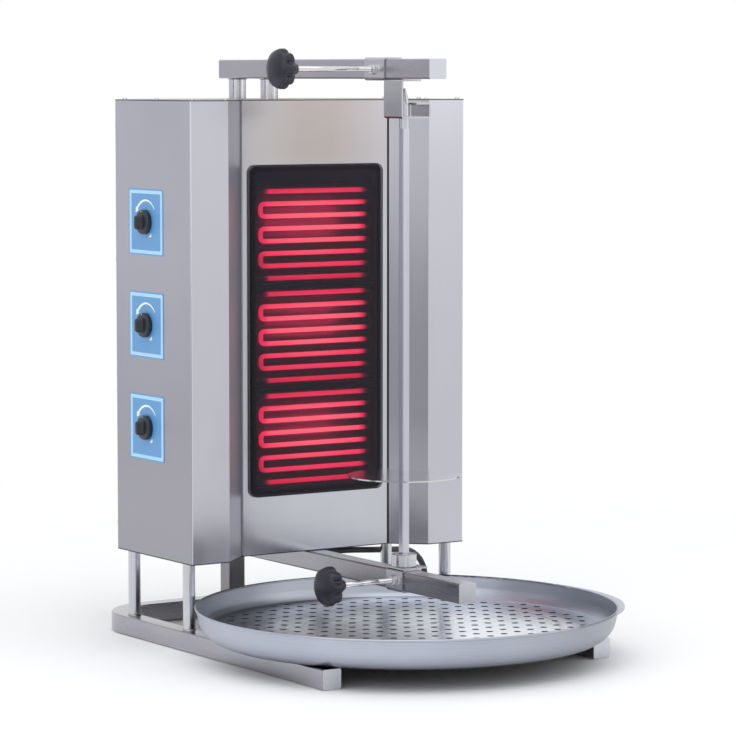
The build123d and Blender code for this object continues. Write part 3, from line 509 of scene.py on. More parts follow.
pane_middle = 0.481
pane_half_wide, pane_half_high = 0.121, 0.256
ground_width = 0.0005
pane, pane_tree, glass = new_material("dark_glass")
glass.inputs["Transmission Weight"].default_value = 1.0
glass.inputs["IOR"].default_value = 1.33
glass.inputs["Specular Tint"].default_value = (0.86, 0.8, 1.0, 1.0)
pane_haze = grain(pane_tree, (40, 40, 40))
pane_tint = two_tones(pane_tree, pane_haze, "Fac", (0.23, 0.215, 0.25), (0.25, 0.235, 0.27))
pane_axes = axes_of(pane_tree)
pane_aside = sums(pane_tree, "ABSOLUTE", (pane_axes, "X"))
pane_level = sums(pane_tree, "SUBTRACT", (pane_axes, "Z"), pane_middle)
pane_above = sums(pane_tree, "ABSOLUTE", (pane_level, "Value"))
pane_sides = spread(
    pane_tree, pane_aside, "Value", 0.0, 1.0, pane_half_wide - ground_width, pane_half_wide
)
pane_ends = spread(
    pane_tree, pane_above, "Value", 0.0, 1.0, pane_half_high - ground_width, pane_half_high
)
pane_rim = sums(pane_tree, "MAXIMUM", (pane_sides, "Result"), (pane_ends, "Result"))
ground_edge = tinted(pane_tree, pane_tint, pane_rim, "Value", (0.002, 0.002, 0.003))
wire(pane_tree, ground_edge, 2, glass, "Base Color")
pane_rough = spread(pane_tree, pane_haze, "Fac", 0.17, 0.2)
wire(pane_tree, pane_rough, "Result", glass, "Roughness")
dress(pane, "glass_panel")
seal_rubber = moulded("seal_rubber", (0.05, 0.05, 0.055), (0.08, 0.08, 0.088), 0.6)
dress(seal_rubber, "glass_seal")

# Heaters: a steel pan behind the window holds an insulation board, and in front of it one
# sheathed rod is bent to and fro. The rod glows where it lies straight across the window,
# most in the middle of its height, and its ends go out through ceramic bushes. The board's
# red glow, strongest beside the rod's lines, is painted light from the rod.
rod_thick = 0.007
rod_left = -0.095
rod_right = 0.107
rod_end = -0.126
rod_bend = 0.006
rod_pitch = 0.0192
rod_lines = 8
rod_y = 0.163
bend_steps = 4
heater_heights = {"upper": 0.6294, "middle": 0.4706, "lower": 0.3118}
heater_pitch = heater_heights["upper"] - heater_heights["middle"]
rod_rise = (rod_lines - 1) * rod_pitch / 2
heat_levels = ((0.06, 0.4), (0.2, 0.62), (0.42, 0.9), (0.6, 1.0), (0.78, 0.92), (0.94, 0.5))
rod_shades = (
    (0.0, (0.0, 0.0, 0.0)),
    (0.15, (0.08, 0.0015, 0.006)),
    (0.4, (0.62, 0.012, 0.052)),
    (0.68, (0.86, 0.034, 0.095)),
    (0.95, (1.0, 0.12, 0.155)),
)
board_shades = ((0.0, (0.0, 0.0, 0.0)), (0.5, (0.1, 0.002, 0.012)), (1.0, (0.42, 0.01, 0.05)))


def ramp_of(tree, source, socket, stops):
    """Colour ramp over a value, from (place, colour) stops."""
    steps = tree.nodes.new("ShaderNodeValToRGB")
    ramp = steps.color_ramp
    ramp.elements[0].position, ramp.elements[1].position = stops[0][0], stops[-1][0]
    for place, colour in stops[1:-1]:
        ramp.elements.new(place)
    for element, (place, colour) in zip(ramp.elements, stops):
        element.color = (*colour, 1.0)
    wire(tree, source, socket, steps, "Fac")
    return steps


def share_of(tree, axes):
    """How high a spot is in its own heater, from 0 at its foot to 1 at its head."""
    start = heater_heights["lower"] - heater_pitch / 2
    above = sums(tree, "SUBTRACT", (axes, "Z"), start)
    inside = sums(tree, "MODULO", (above, "Value"), heater_pitch)
    return spread(tree, inside, "Value", 0.0, 1.0, 0.0, heater_pitch)


def heat_of(tree, axes, share):
    """How hot a spot is, from 0 to 1. Bends and the outer lines' ends are cooler."""
    levels = ramp_of(tree, share, "Result", [(at, (level,) * 3) for at, level in heat_levels])
    right = spread(tree, axes, "X", 1.0, 0.0, rod_right - 0.024, rod_right - 0.006)
    left = spread(tree, axes, "X", 0.55, 1.0, rod_left - 0.004, rod_left + 0.014)
    from_middle = sums(tree, "SUBTRACT", (share, "Result"), 0.5)
    out = sums(tree, "ABSOLUTE", (from_middle, "Value"))
    outer_line = spread(tree, out, "Value", 0.0, 1.0, 0.385, 0.4)
    unheated = spread(tree, axes, "X", 1.0, 0.0, rod_left + 0.001, rod_left + 0.015)
    tail = sums(tree, "MULTIPLY", (outer_line, "Result"), (unheated, "Result"))
    lit = sums(tree, "SUBTRACT", 1.0, (tail, "Value"))
    ends = sums(tree, "MULTIPLY", (right, "Result"), (left, "Result"))
    kept = sums(tree, "MULTIPLY", (ends, "Value"), (lit, "Value"))
    aside = sums(tree, "ABSOLUTE", (axes, "X"))
    along = spread(tree, aside, "Value", 1.0, 0.8, 0.02, 0.1)
    level = sums(tree, "MULTIPLY", (along, "Result"), (levels, "Color"))
    return sums(tree, "MULTIPLY", (kept, "Value"), (level, "Value"))


hot_rod, rod_tree, rod_paint = new_material("hot_rod")
rod_scale = grain(rod_tree, (900, 900, 900))
rod_skin = two_tones(rod_tree, rod_scale, "Fac", (0.05, 0.03, 0.03), (0.1, 0.05, 0.05))
wire(rod_tree, rod_skin, 2, rod_paint, "Base Color")
rod_paint.inputs["Roughness"].default_value = 0.6
rod_axes = axes_of(rod_tree)
rod_heat = heat_of(rod_tree, rod_axes, share_of(rod_tree, rod_axes))
rod_glow = ramp_of(rod_tree, rod_heat, "Value", rod_shades)
wire(rod_tree, rod_glow, "Color", rod_paint, "Emission Color")
rod_paint.inputs["Emission Strength"].default_value = 4.6

# Painted light: the board glows red in front of the hot rod, most beside its lines.
board_painted_glow, board_tree, board_paint = new_material("board_painted_glow")
board_fibre = grain(board_tree, (300, 300, 300), 4.0)
board_skin = two_tones(board_tree, board_fibre, "Fac", (0.02, 0.014, 0.018), (0.04, 0.028, 0.034))
wire(board_tree, board_skin, 2, board_paint, "Base Color")
board_paint.inputs["Roughness"].default_value = 0.9
board_axes = axes_of(board_tree)
board_share = share_of(board_tree, board_axes)
board_heat = heat_of(board_tree, board_axes, board_share)
board_deep = sums(board_tree, "POWER", (board_heat, "Value"), 3.0)
upper_part = spread(board_tree, board_share, "Result", 0.1, 1.0, 0.36, 0.52)
left_part = spread(board_tree, board_axes, "X", 1.0, 0.0, 0.03, 0.09)
halo_foot = heater_heights["lower"] + rod_pitch / 2
line_turns = sums(board_tree, "SUBTRACT", (board_axes, "Z"), halo_foot)
line_wave = sums(board_tree, "MULTIPLY", (line_turns, "Value"), 2 * pi / rod_pitch)
line_near = sums(board_tree, "COSINE", (line_wave, "Value"))
line_halo = spread(board_tree, line_near, "Value", 0.75, 1.5, -1.0, 1.0)
lit_part = sums(board_tree, "MULTIPLY", (upper_part, "Result"), (line_halo, "Result"))
board_part = sums(board_tree, "MULTIPLY", (lit_part, "Value"), (left_part, "Result"))
board_kept = sums(board_tree, "MULTIPLY", (board_deep, "Value"), (board_part, "Value"))
board_painted_light = ramp_of(board_tree, board_kept, "Value", board_shades)
wire(board_tree, board_painted_light, "Color", board_paint, "Emission Color")
board_paint.inputs["Emission Strength"].default_value = 2.6
dress(board_painted_glow, "insulation_boards")
pan_steel = steel("pan_steel", (0.05, 0.045, 0.05), (0.09, 0.08, 0.09), (80, 80, 80), 0.55)
dress(pan_steel, "heater_pans")
ceramic = moulded("ceramic", (0.62, 0.58, 0.52), (0.72, 0.68, 0.62), 0.55)
dress(ceramic, "terminal_bushes")
for level, height in heater_heights.items():
    path = [Vector((rod_end, rod_y, height + rod_rise))]
    for line in range(rod_lines - 1):
        z = height + rod_rise - line * rod_pitch
        end, towards = (rod_left, -1) if line % 2 else (rod_right, 1)
        for half in (0, 1):
            drop = rod_pitch - rod_bend if half else rod_bend
            centre = Vector((end - towards * rod_bend, rod_y, z - drop))
            for step in range(bend_steps + 1):
                turn = pi / 2 * (step / bend_steps + half)
                path.append(centre + rod_bend * Vector((towards * sin(turn), 0, cos(turn))))
    path.append(Vector((rod_end, rod_y, height - rod_rise)))
    curve = bpy.data.curves.new(f"heating_rod_{level}", "CURVE")
    curve.dimensions = "3D"
    curve.bevel_depth = rod_thick / 2
    curve.bevel_resolution = 4
    spline = curve.splines.new("POLY")
    spline.points.add(len(path) - 1)
    for knot, point in zip(spline.points, path):
        knot.co = (*point, 1.0)
    rod = bpy.data.objects.new(f"heating_rod_{level}", curve)
    scene.collection.objects.link(rod)
    rod.data.materials.append(hot_rod)
    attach(rod, "frame")
    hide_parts(f"heating_element_{level}")

# Control labels: printed film glued to the left side, one behind each knob. A pale band
# runs round the blue field, and a white arc that grows to the left shows the way to turn.
control_y = 0.2455
control_above = 0.021
control_heights = {level: height + control_above for level, height in heater_heights.items()}
label_face = side_half + 0.0005
label_half_y = 0.0525
label_half_z = 0.051
band_inset = 0.0022
band_width_y, band_width_z = 0.0056, 0.0053
print_rise = 0.0001
print_gap = 0.00002
arc_radius = 0.0335
arc_end = radians(52)
arc_thick, arc_thin = 0.0042, 0.0014
arc_steps = 28
head_half, head_length = 0.005, 0.0085
mark_outline = [(0.009, -0.0228), (0.0165, -0.0228), (0.0165, -0.0168)]
label_film = moulded("label_film", (0.1, 0.3, 0.6), (0.13, 0.34, 0.64), 0.35, 0.05)
pale_print = moulded("pale_print", (0.36, 0.66, 0.9), (0.42, 0.71, 0.93), 0.4, 0.05)
white_print = moulded("white_print", (0.82, 0.88, 0.93), (0.9, 0.94, 0.97), 0.45, 0.05)
dress(label_film, "control_labels")


def rounded_corners(half_wide, half_high, radius, steps=5):
    """Points round a rectangle with rounded corners, anticlockwise, about its middle."""
    points = []
    for place, (a, b) in enumerate(((1, 1), (-1, 1), (-1, -1), (1, -1))):
        for step in range(steps + 1):
            turn = pi / 2 * (place + step / steps)
            x = a * (half_wide - radius) + radius * cos(turn)
            points.append((x, b * (half_high - radius) + radius * sin(turn)))
    return points


def cut_sheet(name, outlines, thick):
    """Mesh of a flat plate about Z = 0 whose first outline has the others as holes."""
    curve = bpy.data.curves.new(name, "CURVE")
    curve.dimensions = "2D"
    curve.fill_mode = "BOTH"
    curve.extrude = thick / 2
    for outline in outlines:
        spline = curve.splines.new("POLY")
        spline.points.add(len(outline) - 1)
        for knot, (x, y) in zip(spline.points, outline):
            knot.co = (x, y, 0.0, 1.0)
        spline.use_cyclic_u = True
    shape = bpy.data.objects.new(name, curve)
    mesh = bpy.data.meshes.new_from_object(shape)
    bpy.data.objects.remove(shape)
    return mesh


def leftwards(reach, y, z):
    """Place at a reach to the left, whose X runs to the front, Y up and Z to the left."""
    turn = Matrix(((0, 0, -1), (-1, 0, 0), (0, 1, 0))).to_4x4()
    return Matrix.Translation((-reach, y, z)) @ turn


def on_label(height, rise):
    """Place at a rise off a label's face."""
    return leftwards(label_face + rise, control_y, height)


arc_outline = []
for side in (1, -1):
    for step in range(arc_steps + 1):
        share = step / arc_steps if side == 1 else 1 - step / arc_steps
        turn = pi / 2 + arc_end * (1 - 2 * share)
        width = arc_thick + (arc_thin - arc_thick) * share
        reach = arc_radius + side * width / 2
        arc_outline.append((reach * cos(turn), reach * sin(turn)))
arc_outline.reverse()
head_turn = pi / 2 + arc_end
head_across = Vector((cos(head_turn), sin(head_turn)))
head_ahead = Vector((-sin(head_turn), cos(head_turn)))
head_outline = [
    tuple(head_across * (arc_radius + head_half)),
    tuple(head_across * (arc_radius - head_half)),
    tuple(head_across * arc_radius + head_ahead * head_length),
]
band_half_y, band_half_z = label_half_y - band_inset, label_half_z - band_inset
band_outlines = [
    rounded_corners(band_half_y, band_half_z, 0.0015),
    rounded_corners(band_half_y - band_width_y, band_half_z - band_width_z, 0.001),
]
prints = {
    "band": (band_outlines, pale_print, 0.0),
    "arc": ([arc_outline], white_print, print_gap),
    "head": ([head_outline], white_print, print_gap),
    "mark": ([mark_outline], white_print, print_gap),
}
for level, height in control_heights.items():
    for print_name, (outlines, ink, gap) in prints.items():
        name = f"label_{print_name}_{level}"
        print_mesh = cut_sheet(name, outlines, print_rise)
        print_mesh.transform(on_label(height, print_rise / 2 + gap))
        finish_mesh(name, print_mesh, ink, "frame")

# Energy regulators: a moulded body behind the side sheet, held by a nut on its threaded
# neck, with a round steel shaft.
regulator_black = moulded("regulator_black", (0.02, 0.02, 0.02), (0.045, 0.045, 0.045), 0.5)
dress(regulator_black, "regulators")
dress(screw_steel, "regulator_nuts")
dress(round_steel, *(f"regulator_shaft_{level}" for level in control_heights))


# Control knobs: black mouldings pushed on the shafts. A round skirt carries a bar grip
# that narrows outwards, and a white dot on the skirt shows where it points.
def ring_mesh(name, rings):
    """Mesh through rings of as many points each, closed by a face at either end."""
    count = len(rings[0])
    points = [point for ring in rings for point in ring]
    faces = ring_faces(count, len(rings))
    faces.append(tuple(reversed(range(count))))
    faces.append(tuple(range(len(points) - count, len(points))))
    mesh = bpy.data.meshes.new(name)
    mesh.from_pydata(points, [], faces)
    fixed = bmesh.new()
    fixed.from_mesh(mesh)
    bmesh.ops.recalc_face_normals(fixed, faces=fixed.faces)
    fixed.to_mesh(mesh)
    fixed.free()
    return mesh


def circle_ring(radius, height, count=64):
    """Points of a circle."""
    turns = [2 * pi * step / count for step in range(count)]
    return [(radius * sin(turn), radius * cos(turn), height) for turn in turns]


def slot_ring(length, width, height, count=64):
    """Points of an upright slot, at the same angles as a circle's."""
    ring = []
    straight = length / 2 - width / 2
    for step in range(count):
        turn = 2 * pi * step / count
        across, up = sin(turn), cos(turn)
        side_up = (width / 2) * up / max(abs(across), 1e-6)
        if abs(side_up) < straight:
            ring.append((copysign(width / 2, across), side_up, height))
            continue
        lift = abs(up) * straight
        reach = lift + sqrt(max(lift**2 - straight**2 + width**2 / 4, 0.0))
        ring.append((reach * across, reach * up, height))
    return ring


knob_back = 0.0007
knob_radius = 0.019
knob_skirt = 0.008
knob_height = 0.019
dot_half, dot_corner, dot_thick = 0.0009, 0.0008, 0.0001
dot_reach = 0.0164
knob_black = moulded("knob_black", (0.01, 0.012, 0.017), (0.026, 0.03, 0.038), 0.34, 0.15, 700)
skirt_rows = (
    (knob_radius - 0.0006, 0.0),
    (knob_radius, 0.0006),
    (knob_radius, knob_skirt - 0.0022),
    (knob_radius - 0.0004, knob_skirt - 0.0011),
    (knob_radius - 0.0011, knob_skirt - 0.0003),
    (knob_radius - 0.0022, knob_skirt),
)
grip_rows = (
    (0.0256, 0.0098, knob_skirt),
    (0.0244, 0.0089, knob_skirt + 0.0008),
    (0.0208, 0.0074, knob_height - 0.0016),
    (0.0198, 0.0068, knob_height - 0.0006),
    (0.0178, 0.0054, knob_height),
)
knob_rings = [circle_ring(*row) for row in skirt_rows] + [slot_ring(*row) for row in grip_rows]
dot_outline = rounded_corners(dot_half, dot_half, dot_corner)
for level, height in control_heights.items():
    body = f"{level}_control"
    knob = ring_mesh(f"knob_{level}", knob_rings)
    knob.transform(on_label(height, knob_back))
    knob_piece = finish_mesh(f"knob_{level}", knob, knob_black, body, 50.0)
    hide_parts(f"control_knob_{level}")
    dot = cut_sheet(f"knob_dot_{level}", [dot_outline], dot_thick)
    on_skirt = on_label(height, knob_back + knob_skirt)
    dot.transform(on_skirt @ Matrix.Translation((0.0, dot_reach, 0.0)))
    finish_mesh(f"knob_dot_{level}", dot, white_print, body)

# Carriages: a square sleeve slides along each arm. A nut is welded on its left wall, and a
# long polished screw in it, threaded at both ends, pins the sleeve where it stands.
carriages = {
    "upper": {"y": -0.0387, "z": 0.885, "knob": 0.175},
    "lower": {"y": -0.0947, "z": 0.118, "knob": 0.1285},
}
half_sleeve = 0.0174
nut_radius = 0.0072
screw_radius = 0.004
thread_depth = 0.0006
thread_pitch = 0.00125
screw_tip = 0.0151
tip_radius, end_radius = 0.0028, 0.003
nut_thread = 0.032
knob_thread = 0.026
into_knob = 0.004
screw_points = 32
sleeve_steel = steel(
    "sleeve_steel", (0.48, 0.475, 0.51), (0.55, 0.545, 0.58), (300, 12, 300), 0.24, 0.01, 0.15
)
nut_steel = steel(
    "nut_steel", (0.62, 0.62, 0.62), (0.75, 0.75, 0.75), (200, 200, 200), 0.18, 0.02
)
screw_bar = steel("screw_bar", (0.62, 0.62, 0.63), (0.74, 0.74, 0.75), (8, 260, 260), 0.14, 0.02)
dress(sleeve_steel, "upper_sleeve", "lower_sleeve")
dress(nut_steel, "upper_clamp_nut", "lower_clamp_nut")


def threaded(start, end):
    """Rows of a thread, drawn as ridges, between two heights."""
    rows = []
    for turn in range(round((end - start) / thread_pitch)):
        low = start + turn * thread_pitch
        rows.append((screw_radius - thread_depth, low))
        rows.append((screw_radius, low + thread_pitch / 2))
    return rows


for level, spot in carriages.items():
    length = spot["knob"] + into_knob - screw_tip
    knob_start = length - knob_thread
    rows = [(tip_radius, 0.0), (screw_radius - thread_depth, 0.0008)]
    rows += threaded(0.001, nut_thread)
    rows.append((screw_radius - thread_depth, nut_thread))
    rows.append((screw_radius, nut_thread + 0.0006))
    rows.append((screw_radius, knob_start))
    rows += threaded(knob_start + 0.0004, length - 0.0008)
    rows.append((end_radius, length))
    bar = ring_mesh(f"{level}_screw", [circle_ring(*row, screw_points) for row in rows])
    bar.transform(leftwards(screw_tip, spot["y"], spot["z"]))
    clamp = f"{level}_clamp"
    bar_piece = finish_mesh(f"{level}_screw", bar, screw_bar, clamp, 60.0)
    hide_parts(f"{level}_clamp_screw")
    nut_foot = (-half_sleeve, spot["y"], spot["z"])
    beads(f"{level}_nut_weld", [nut_foot], nut_radius, (1, 0, 0), f"{level}_carriage")

# Star knobs: black mouldings on the screws' left ends. Eight lobes run round a thick disc
# that tapers to a short hub towards the arm and is gently domed on the outer face.
star_core = 0.023
star_lobe = 0.007
star_dome = 0.0285
star_lobes = 8
valley_depth = 0.0006
valley_rise = 0.0018
star_thick = 0.0235
star_back = 0.009
star_points = 192
star_black = moulded("star_black", (0.005, 0.005, 0.013), (0.016, 0.015, 0.034), 0.38, 0.2, 500)
hub_rows = ((0.0068, -0.0115), (0.0076, -0.011), (0.0126, -0.0008))
lobe_rows = (
    (0.0, 0.62, 0.0),
    (0.003, 0.8, 0.0),
    (0.0065, 0.95, 0.0),
    (0.0095, 1.0, 0.0),
    (star_thick - 0.007, 1.0, 0.05),
    (star_thick - 0.0045, 0.995, 0.3),
    (star_thick - 0.002, 0.98, 0.7),
    (star_thick, 0.95, 0.95),
)
dome_rows = (
    (0.0245, 0.0023),
    (0.0205, 0.0049),
    (0.0155, 0.0071),
    (0.0095, 0.0085),
    (0.004, 0.0091),
)


def star_ring(height, size, blend):
    """Outline of the lobes, scaled by a size and blended into a circle."""
    lobe_turn = 2 * pi / star_lobes
    ring = []
    for step in range(star_points):
        turn = 2 * pi * step / star_points
        aside = abs((turn + lobe_turn / 2) % lobe_turn - lobe_turn / 2)
        valley = valley_rise * (1 - 2 * aside / lobe_turn) ** 2 - valley_depth
        off_lobe = star_core * sin(aside)
        reach = star_core
        if off_lobe < star_lobe:
            reach = star_core * cos(aside) + sqrt(star_lobe**2 - off_lobe**2)
        reach = max(reach, star_core + valley)
        reach = size * (reach + (star_dome - reach) * blend)
        ring.append((reach * sin(turn), reach * cos(turn), height))
    return ring


star_rings = [circle_ring(radius, height, star_points) for radius, height in hub_rows]
star_rings += [star_ring(*row) for row in lobe_rows]
star_rings += [circle_ring(radius, star_thick + rise, star_points) for radius, rise in dome_rows]
for level, spot in carriages.items():
    clamp = f"{level}_clamp"
    star = ring_mesh(f"{level}_star", star_rings)
    star.transform(leftwards(spot["knob"] - star_back, spot["y"], spot["z"]))
    star_piece = finish_mesh(f"{level}_star", star, star_black, clamp, 32.0)
    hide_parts(f"{level}_star_knob")

# Hanger and bearing plate: the hanger is a flat strip folded into a hook, whose shelf holds
# the spit's tip. The bearing plate under the cup is welded across the lower sleeve. Painted
# shade darkens the undersides of both.
hanger_steel = steel(
    "hanger_steel", (0.46, 0.46, 0.48), (0.52, 0.515, 0.54), (300, 300, 10), 0.24, 0.006, 0.15
)
hanger_tree = hanger_steel.node_tree
hanger_metal, hanger_colour = colour_of(hanger_tree)
# Painted shade: faces that face down are made near black.
underneath = spread(hanger_tree, facing_of(hanger_tree), "Z", 1.0, 0.0, -0.7, -0.3)
painted_underside_shade = tinted(hanger_tree, hanger_colour, underneath, "Result", (0.07, 0.07, 0.075))
wire(hanger_tree, painted_underside_shade, 2, hanger_metal, "Base Color")
dress(hanger_steel, "hanger_bracket", "bearing_plate")

# Spit: a square polished bar whose round tip stands in the hanger. It sits in a turned cup
# on a thrust washer, and a pin through it carries the meat disc.
spit_steel = steel(
    "spit_steel", (0.5, 0.5, 0.56), (0.58, 0.58, 0.64), (300, 300, 4), 0.2, 0.02, 0.2
)
disc_steel = steel("disc_steel", (0.56, 0.56, 0.57), (0.64, 0.64, 0.65), (60, 60, 60), 0.14, 0.01)
cup_steel = steel("cup_steel", (0.56, 0.56, 0.6), (0.64, 0.64, 0.68), (90, 90, 300), 0.25, 0.02)
dress(spit_steel, "spit", "disc_pin")
dress(disc_steel, "meat_disc", "thrust_washer")
dress(cup_steel, "spit_cup")

# Drip tray: spun from one disc of sheet, so that fine lines run round its axis. Its rim is
# rolled over and has a pouring lip on the right. Painted shade darkens it near its floor,
# and on the walls that face right.
tray_y = -0.103
floor_shade_low, floor_shade_high = 0.0318, 0.036
shade_way = (0.84, -0.55, 0.0)


def spun(name, dark, light, rough, scale):
    """Satin metal whose fine lines run round the tray's axis."""
    made, tree, metal = new_material(name)
    metal.inputs["Metallic"].default_value = 1.0
    axes = axes_of(tree)
    from_axis = sums(tree, "SUBTRACT", (axes, "Y"), tray_y)
    square_x = sums(tree, "MULTIPLY", (axes, "X"), (axes, "X"))
    y = (from_axis, "Value")
    square = sums(tree, "MULTIPLY_ADD", y, y, (square_x, "Value"))
    reach = sums(tree, "SQRT", (square, "Value"))
    along = tree.nodes.new("ShaderNodeCombineXYZ")
    wire(tree, reach, "Value", along, "X")
    wire(tree, axes, "Z", along, "Z")
    lines = tree.nodes.new("ShaderNodeTexNoise")
    lines.inputs["Scale"].default_value = scale
    lines.inputs["Detail"].default_value = 3.0
    wire(tree, along, "Vector", lines, "Vector")
    slow = grain(tree, (6, 6, 6))
    part_slow = sums(tree, "MULTIPLY", (slow, "Fac"), 0.6)
    both = sums(tree, "MULTIPLY_ADD", (lines, "Fac"), 0.4, (part_slow, "Value"))
    tone = spread(tree, both, "Value", 0.0, 1.0, 0.35, 0.65)
    colour = two_tones(tree, tone, "Result", dark, light)
    # Painted shade: near the tray's floor the colour is made near black.
    low_down = spread(tree, axes, "Z", 1.0, 0.0, floor_shade_low, floor_shade_high)
    painted_floor_shade = tinted(tree, colour, low_down, "Result", (0.07, 0.07, 0.08))
    # Painted shade: faces turned to the right are made darker.
    way = tree.nodes.new("ShaderNodeNewGeometry")
    to_right = tree.nodes.new("ShaderNodeVectorMath")
    to_right.operation = "DOT_PRODUCT"
    to_right.inputs[1].default_value = shade_way
    wire(tree, way, "Normal", to_right, 0)
    turned_away = spread(tree, to_right, "Value", 0.0, 1.0, 0.1, 0.8)
    painted_side_shade = tinted(tree, painted_floor_shade, turned_away, "Result", (0.72, 0.71, 0.7), "MULTIPLY")
    wire(tree, painted_side_shade, 2, metal, "Base Color")
    gloss = spread(tree, lines, "Fac", rough - 0.04, rough + 0.06)
    wire(tree, gloss, "Result", metal, "Roughness")
    roughen(tree, metal, lines, 0.06, 0.0004)
    return made


tray_satin = spun("tray_satin", (0.44, 0.47, 0.55), (0.52, 0.55, 0.63), 0.34, 300)
dress(tray_satin, "drip_tray")

# Strainer: a flat plate punched with round holes in staggered rows. It is polished, so that
# it mirrors what stands over it.
hole_radius = 0.0055
hole_column = 0.0206
hole_row = 0.020
hole_margin = 0.0175
hole_points, plate_points = 20, 200
strainer_turn = radians(-33.2)
strainer_low, strainer_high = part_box("strainer_plate")
plate_radius = (strainer_high[0] - strainer_low[0]) / 2
plate_thick = strainer_high[2] - strainer_low[2]
holes_reach = plate_radius - hole_margin
columns = int(holes_reach / hole_column)
rows = int(holes_reach / hole_row)


def circle_points(x, y, radius, count):
    """Points round a circle."""
    turns = [2 * pi * step / count for step in range(count)]
    return [(x + radius * cos(turn), y + radius * sin(turn)) for turn in turns]


plate_outlines = [circle_points(0, 0, plate_radius - 0.0001, plate_points)]
for column in range(-columns, columns + 1):
    for row in range(-rows, rows + 1):
        x, y = column * hole_column, row * hole_row
        if (column + row) % 2 == 0 and hypot(x, y) < holes_reach:
            plate_outlines.append(circle_points(x, y, hole_radius, hole_points))
plate = cut_sheet("strainer", plate_outlines, plate_thick)
plate_place = Matrix.Translation((0, tray_y, (strainer_low[2] + strainer_high[2]) / 2))
plate.transform(plate_place @ Matrix.Rotation(strainer_turn, 4, "Z"))
strainer_steel = spun("strainer_steel", (0.74, 0.77, 0.83), (0.84, 0.87, 0.93), 0.2, 120)
strainer = finish_mesh("strainer", plate, strainer_steel, "strainer", 30.0)
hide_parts("strainer_plate")

# Supply lead: black rubber, coming down from its gland and bending to the right. The rest
# is wound into a flat coil on the table behind the tray, with its moulded plug beside it.
lead_rubber = moulded("lead_rubber", (0.03, 0.03, 0.034), (0.055, 0.055, 0.06), 0.45, 0.3, 400)
dress(lead_rubber, "lead_gland")
dress(ceramic, "terminal_block")
lead_thick = 0.010
lead_route = [
    (0.1000, 0.3350, 0.1640),
    (0.1000, 0.3350, 0.1430),
    (0.1084, 0.3350, 0.1227),
    (0.1240, 0.3350, 0.1071),
    (0.1443, 0.3350, 0.0987),
    (0.1820, 0.3350, 0.0982),
    (0.2220, 0.3350, 0.0952),
    (0.2620, 0.3350, 0.0928),
    (0.2930, 0.3350, 0.0906),
    (0.3078, 0.3350, 0.0840),
    (0.3196, 0.3350, 0.0730),
    (0.3273, 0.3350, 0.0587),
    (0.3301, 0.3350, 0.0425),
    (0.3330, 0.3279, 0.0251),
    (0.3353, 0.3147, 0.0121),
    (0.3366, 0.2975, 0.0051),
    (0.3382, 0.2615, 0.0051),
    (0.3382, 0.2320, 0.0051),
]
coil_radii = [0.0620, 0.0563, 0.0506, 0.0449, 0.0403, 0.0449, 0.0506, 0.0563]
coil_rises = [0, 0, 0, 0, 0.0106, 0, 0, 0.00285]
points_in_half_turn = 8
coil_tail = 0.040
lead_points = [Vector(point) for point in lead_route]
place = lead_points[-1] + Vector((0, -lead_thick, 0))
ahead = Vector((0, -1, 0))
across = Vector((1, 0, 0))
for radius, rise in zip(coil_radii, coil_rises):
    middle = place + across * radius
    for step in range(points_in_half_turn):
        share = (step + 0.5) / points_in_half_turn
        out = (ahead * sin(pi * share) - across * cos(pi * share)) * radius
        lead_points.append(middle + out + Vector((0, 0, rise * share)))
    place = place + across * 2 * radius + Vector((0, 0, rise))
    ahead = -ahead
    across = -across
lead_points += [place, place + ahead * coil_tail / 2, place + ahead * coil_tail]
lead_curve = bpy.data.curves.new("lead", "CURVE")
lead_curve.dimensions = "3D"
lead_curve.bevel_depth = lead_thick / 2
lead_curve.bevel_resolution = 5
lead_curve.resolution_u = 6
lead_line = lead_curve.splines.new("NURBS")
lead_line.points.add(len(lead_points) - 1)
for knot, point in zip(lead_line.points, lead_points):
    knot.co = (*point, 1.0)
lead_line.order_u = 3
lead_line.use_endpoint_u = True
lead = bpy.data.objects.new("lead", lead_curve)
scene.collection.objects.link(lead)
lead.data.materials.append(lead_rubber)
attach(lead, "frame")
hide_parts("supply_lead", "lead_coil")

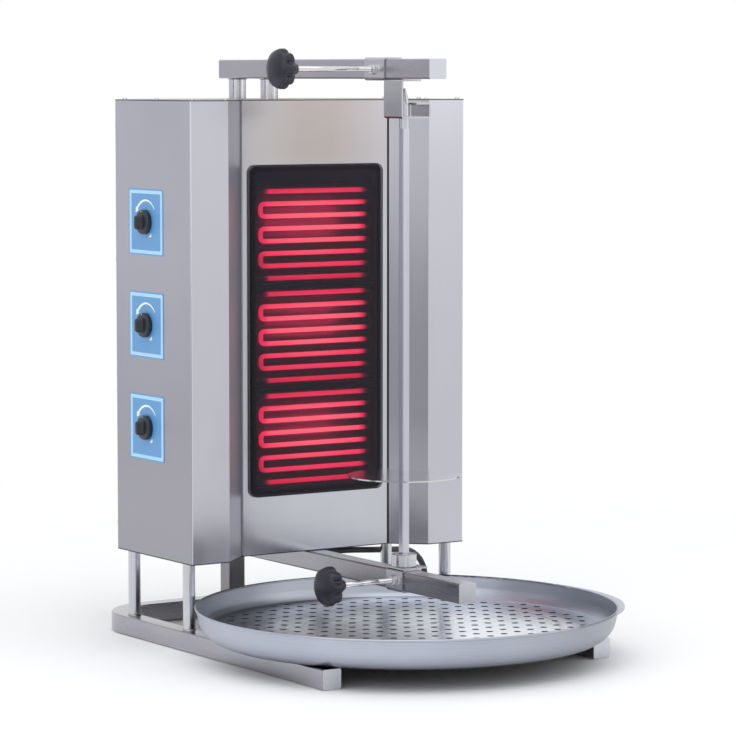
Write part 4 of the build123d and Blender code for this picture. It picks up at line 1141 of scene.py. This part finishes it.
# Plug: a moulded two-pin plug. Its relief is ribbed so that the lead can flex, and its
# round body has shallow grooves for the fingers.
relief_length = 0.020
plug_length = 0.036
plug_radius = 0.0185
plug_end = relief_length + plug_length
pin_radius = 0.0024
pin_length = 0.019
pin_apart = 0.019
pin_points = 24
ribs, rib_pitch, rib_growth = 5, 0.0037, 0.0005
grooves, groove_pitch, groove_depth = 4, 0.0045, 0.0008
plug_turn = Matrix(((1, 0, 0), (0, 0, -1), (0, 1, 0))).to_4x4()
plug_place = Matrix.Translation(lead_points[-1]) @ plug_turn
plug_profile = [(0.0, 0.0052), (0.0004, 0.0064)]
for rib in range(ribs):
    low = 0.001 + rib * rib_pitch
    wide = 0.0066 + rib * rib_growth
    plug_profile += [
        (low, wide),
        (low + 0.0022, wide),
        (low + 0.0024, wide - 0.0011),
        (low + 0.0035, wide - 0.0010),
    ]
plug_profile += [
    (relief_length, 0.0089),
    (relief_length + 0.0003, plug_radius - 0.0045),
    (relief_length + 0.004, plug_radius - 0.0003),
    (relief_length + 0.007, plug_radius),
]
for groove in range(grooves):
    low = relief_length + 0.010 + groove * groove_pitch
    plug_profile += [
        (low, plug_radius),
        (low + 0.001, plug_radius - groove_depth),
        (low + 0.0024, plug_radius - groove_depth),
        (low + 0.0034, plug_radius),
    ]
plug_profile += [
    (plug_end - 0.004, plug_radius),
    (plug_end - 0.001, plug_radius - 0.0032),
    (plug_end, plug_radius - 0.0042),
]
plug_mesh = ring_mesh("plug", [circle_ring(radius, along) for along, radius in plug_profile])
plug_mesh.transform(plug_place)
plug = finish_mesh("plug", plug_mesh, lead_rubber, "frame", 32.0)
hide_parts("lead_plug")
pin_steel = steel("pin_steel", (0.62, 0.6, 0.55), (0.72, 0.7, 0.64), (200, 200, 200), 0.18, 0.02)
pin_profile = [(0.0, pin_radius), (pin_length - 0.0012, pin_radius), (pin_length, 0.0011)]
pin_rings = [circle_ring(radius, along, pin_points) for along, radius in pin_profile]
for side in (-1, 1):
    pin = ring_mesh("plug_pin", pin_rings)
    pin.transform(plug_place @ Matrix.Translation((side * pin_apart / 2, 0, plug_end)))
    finish_mesh(f"plug_pin_{side}", pin, pin_steel, "frame")
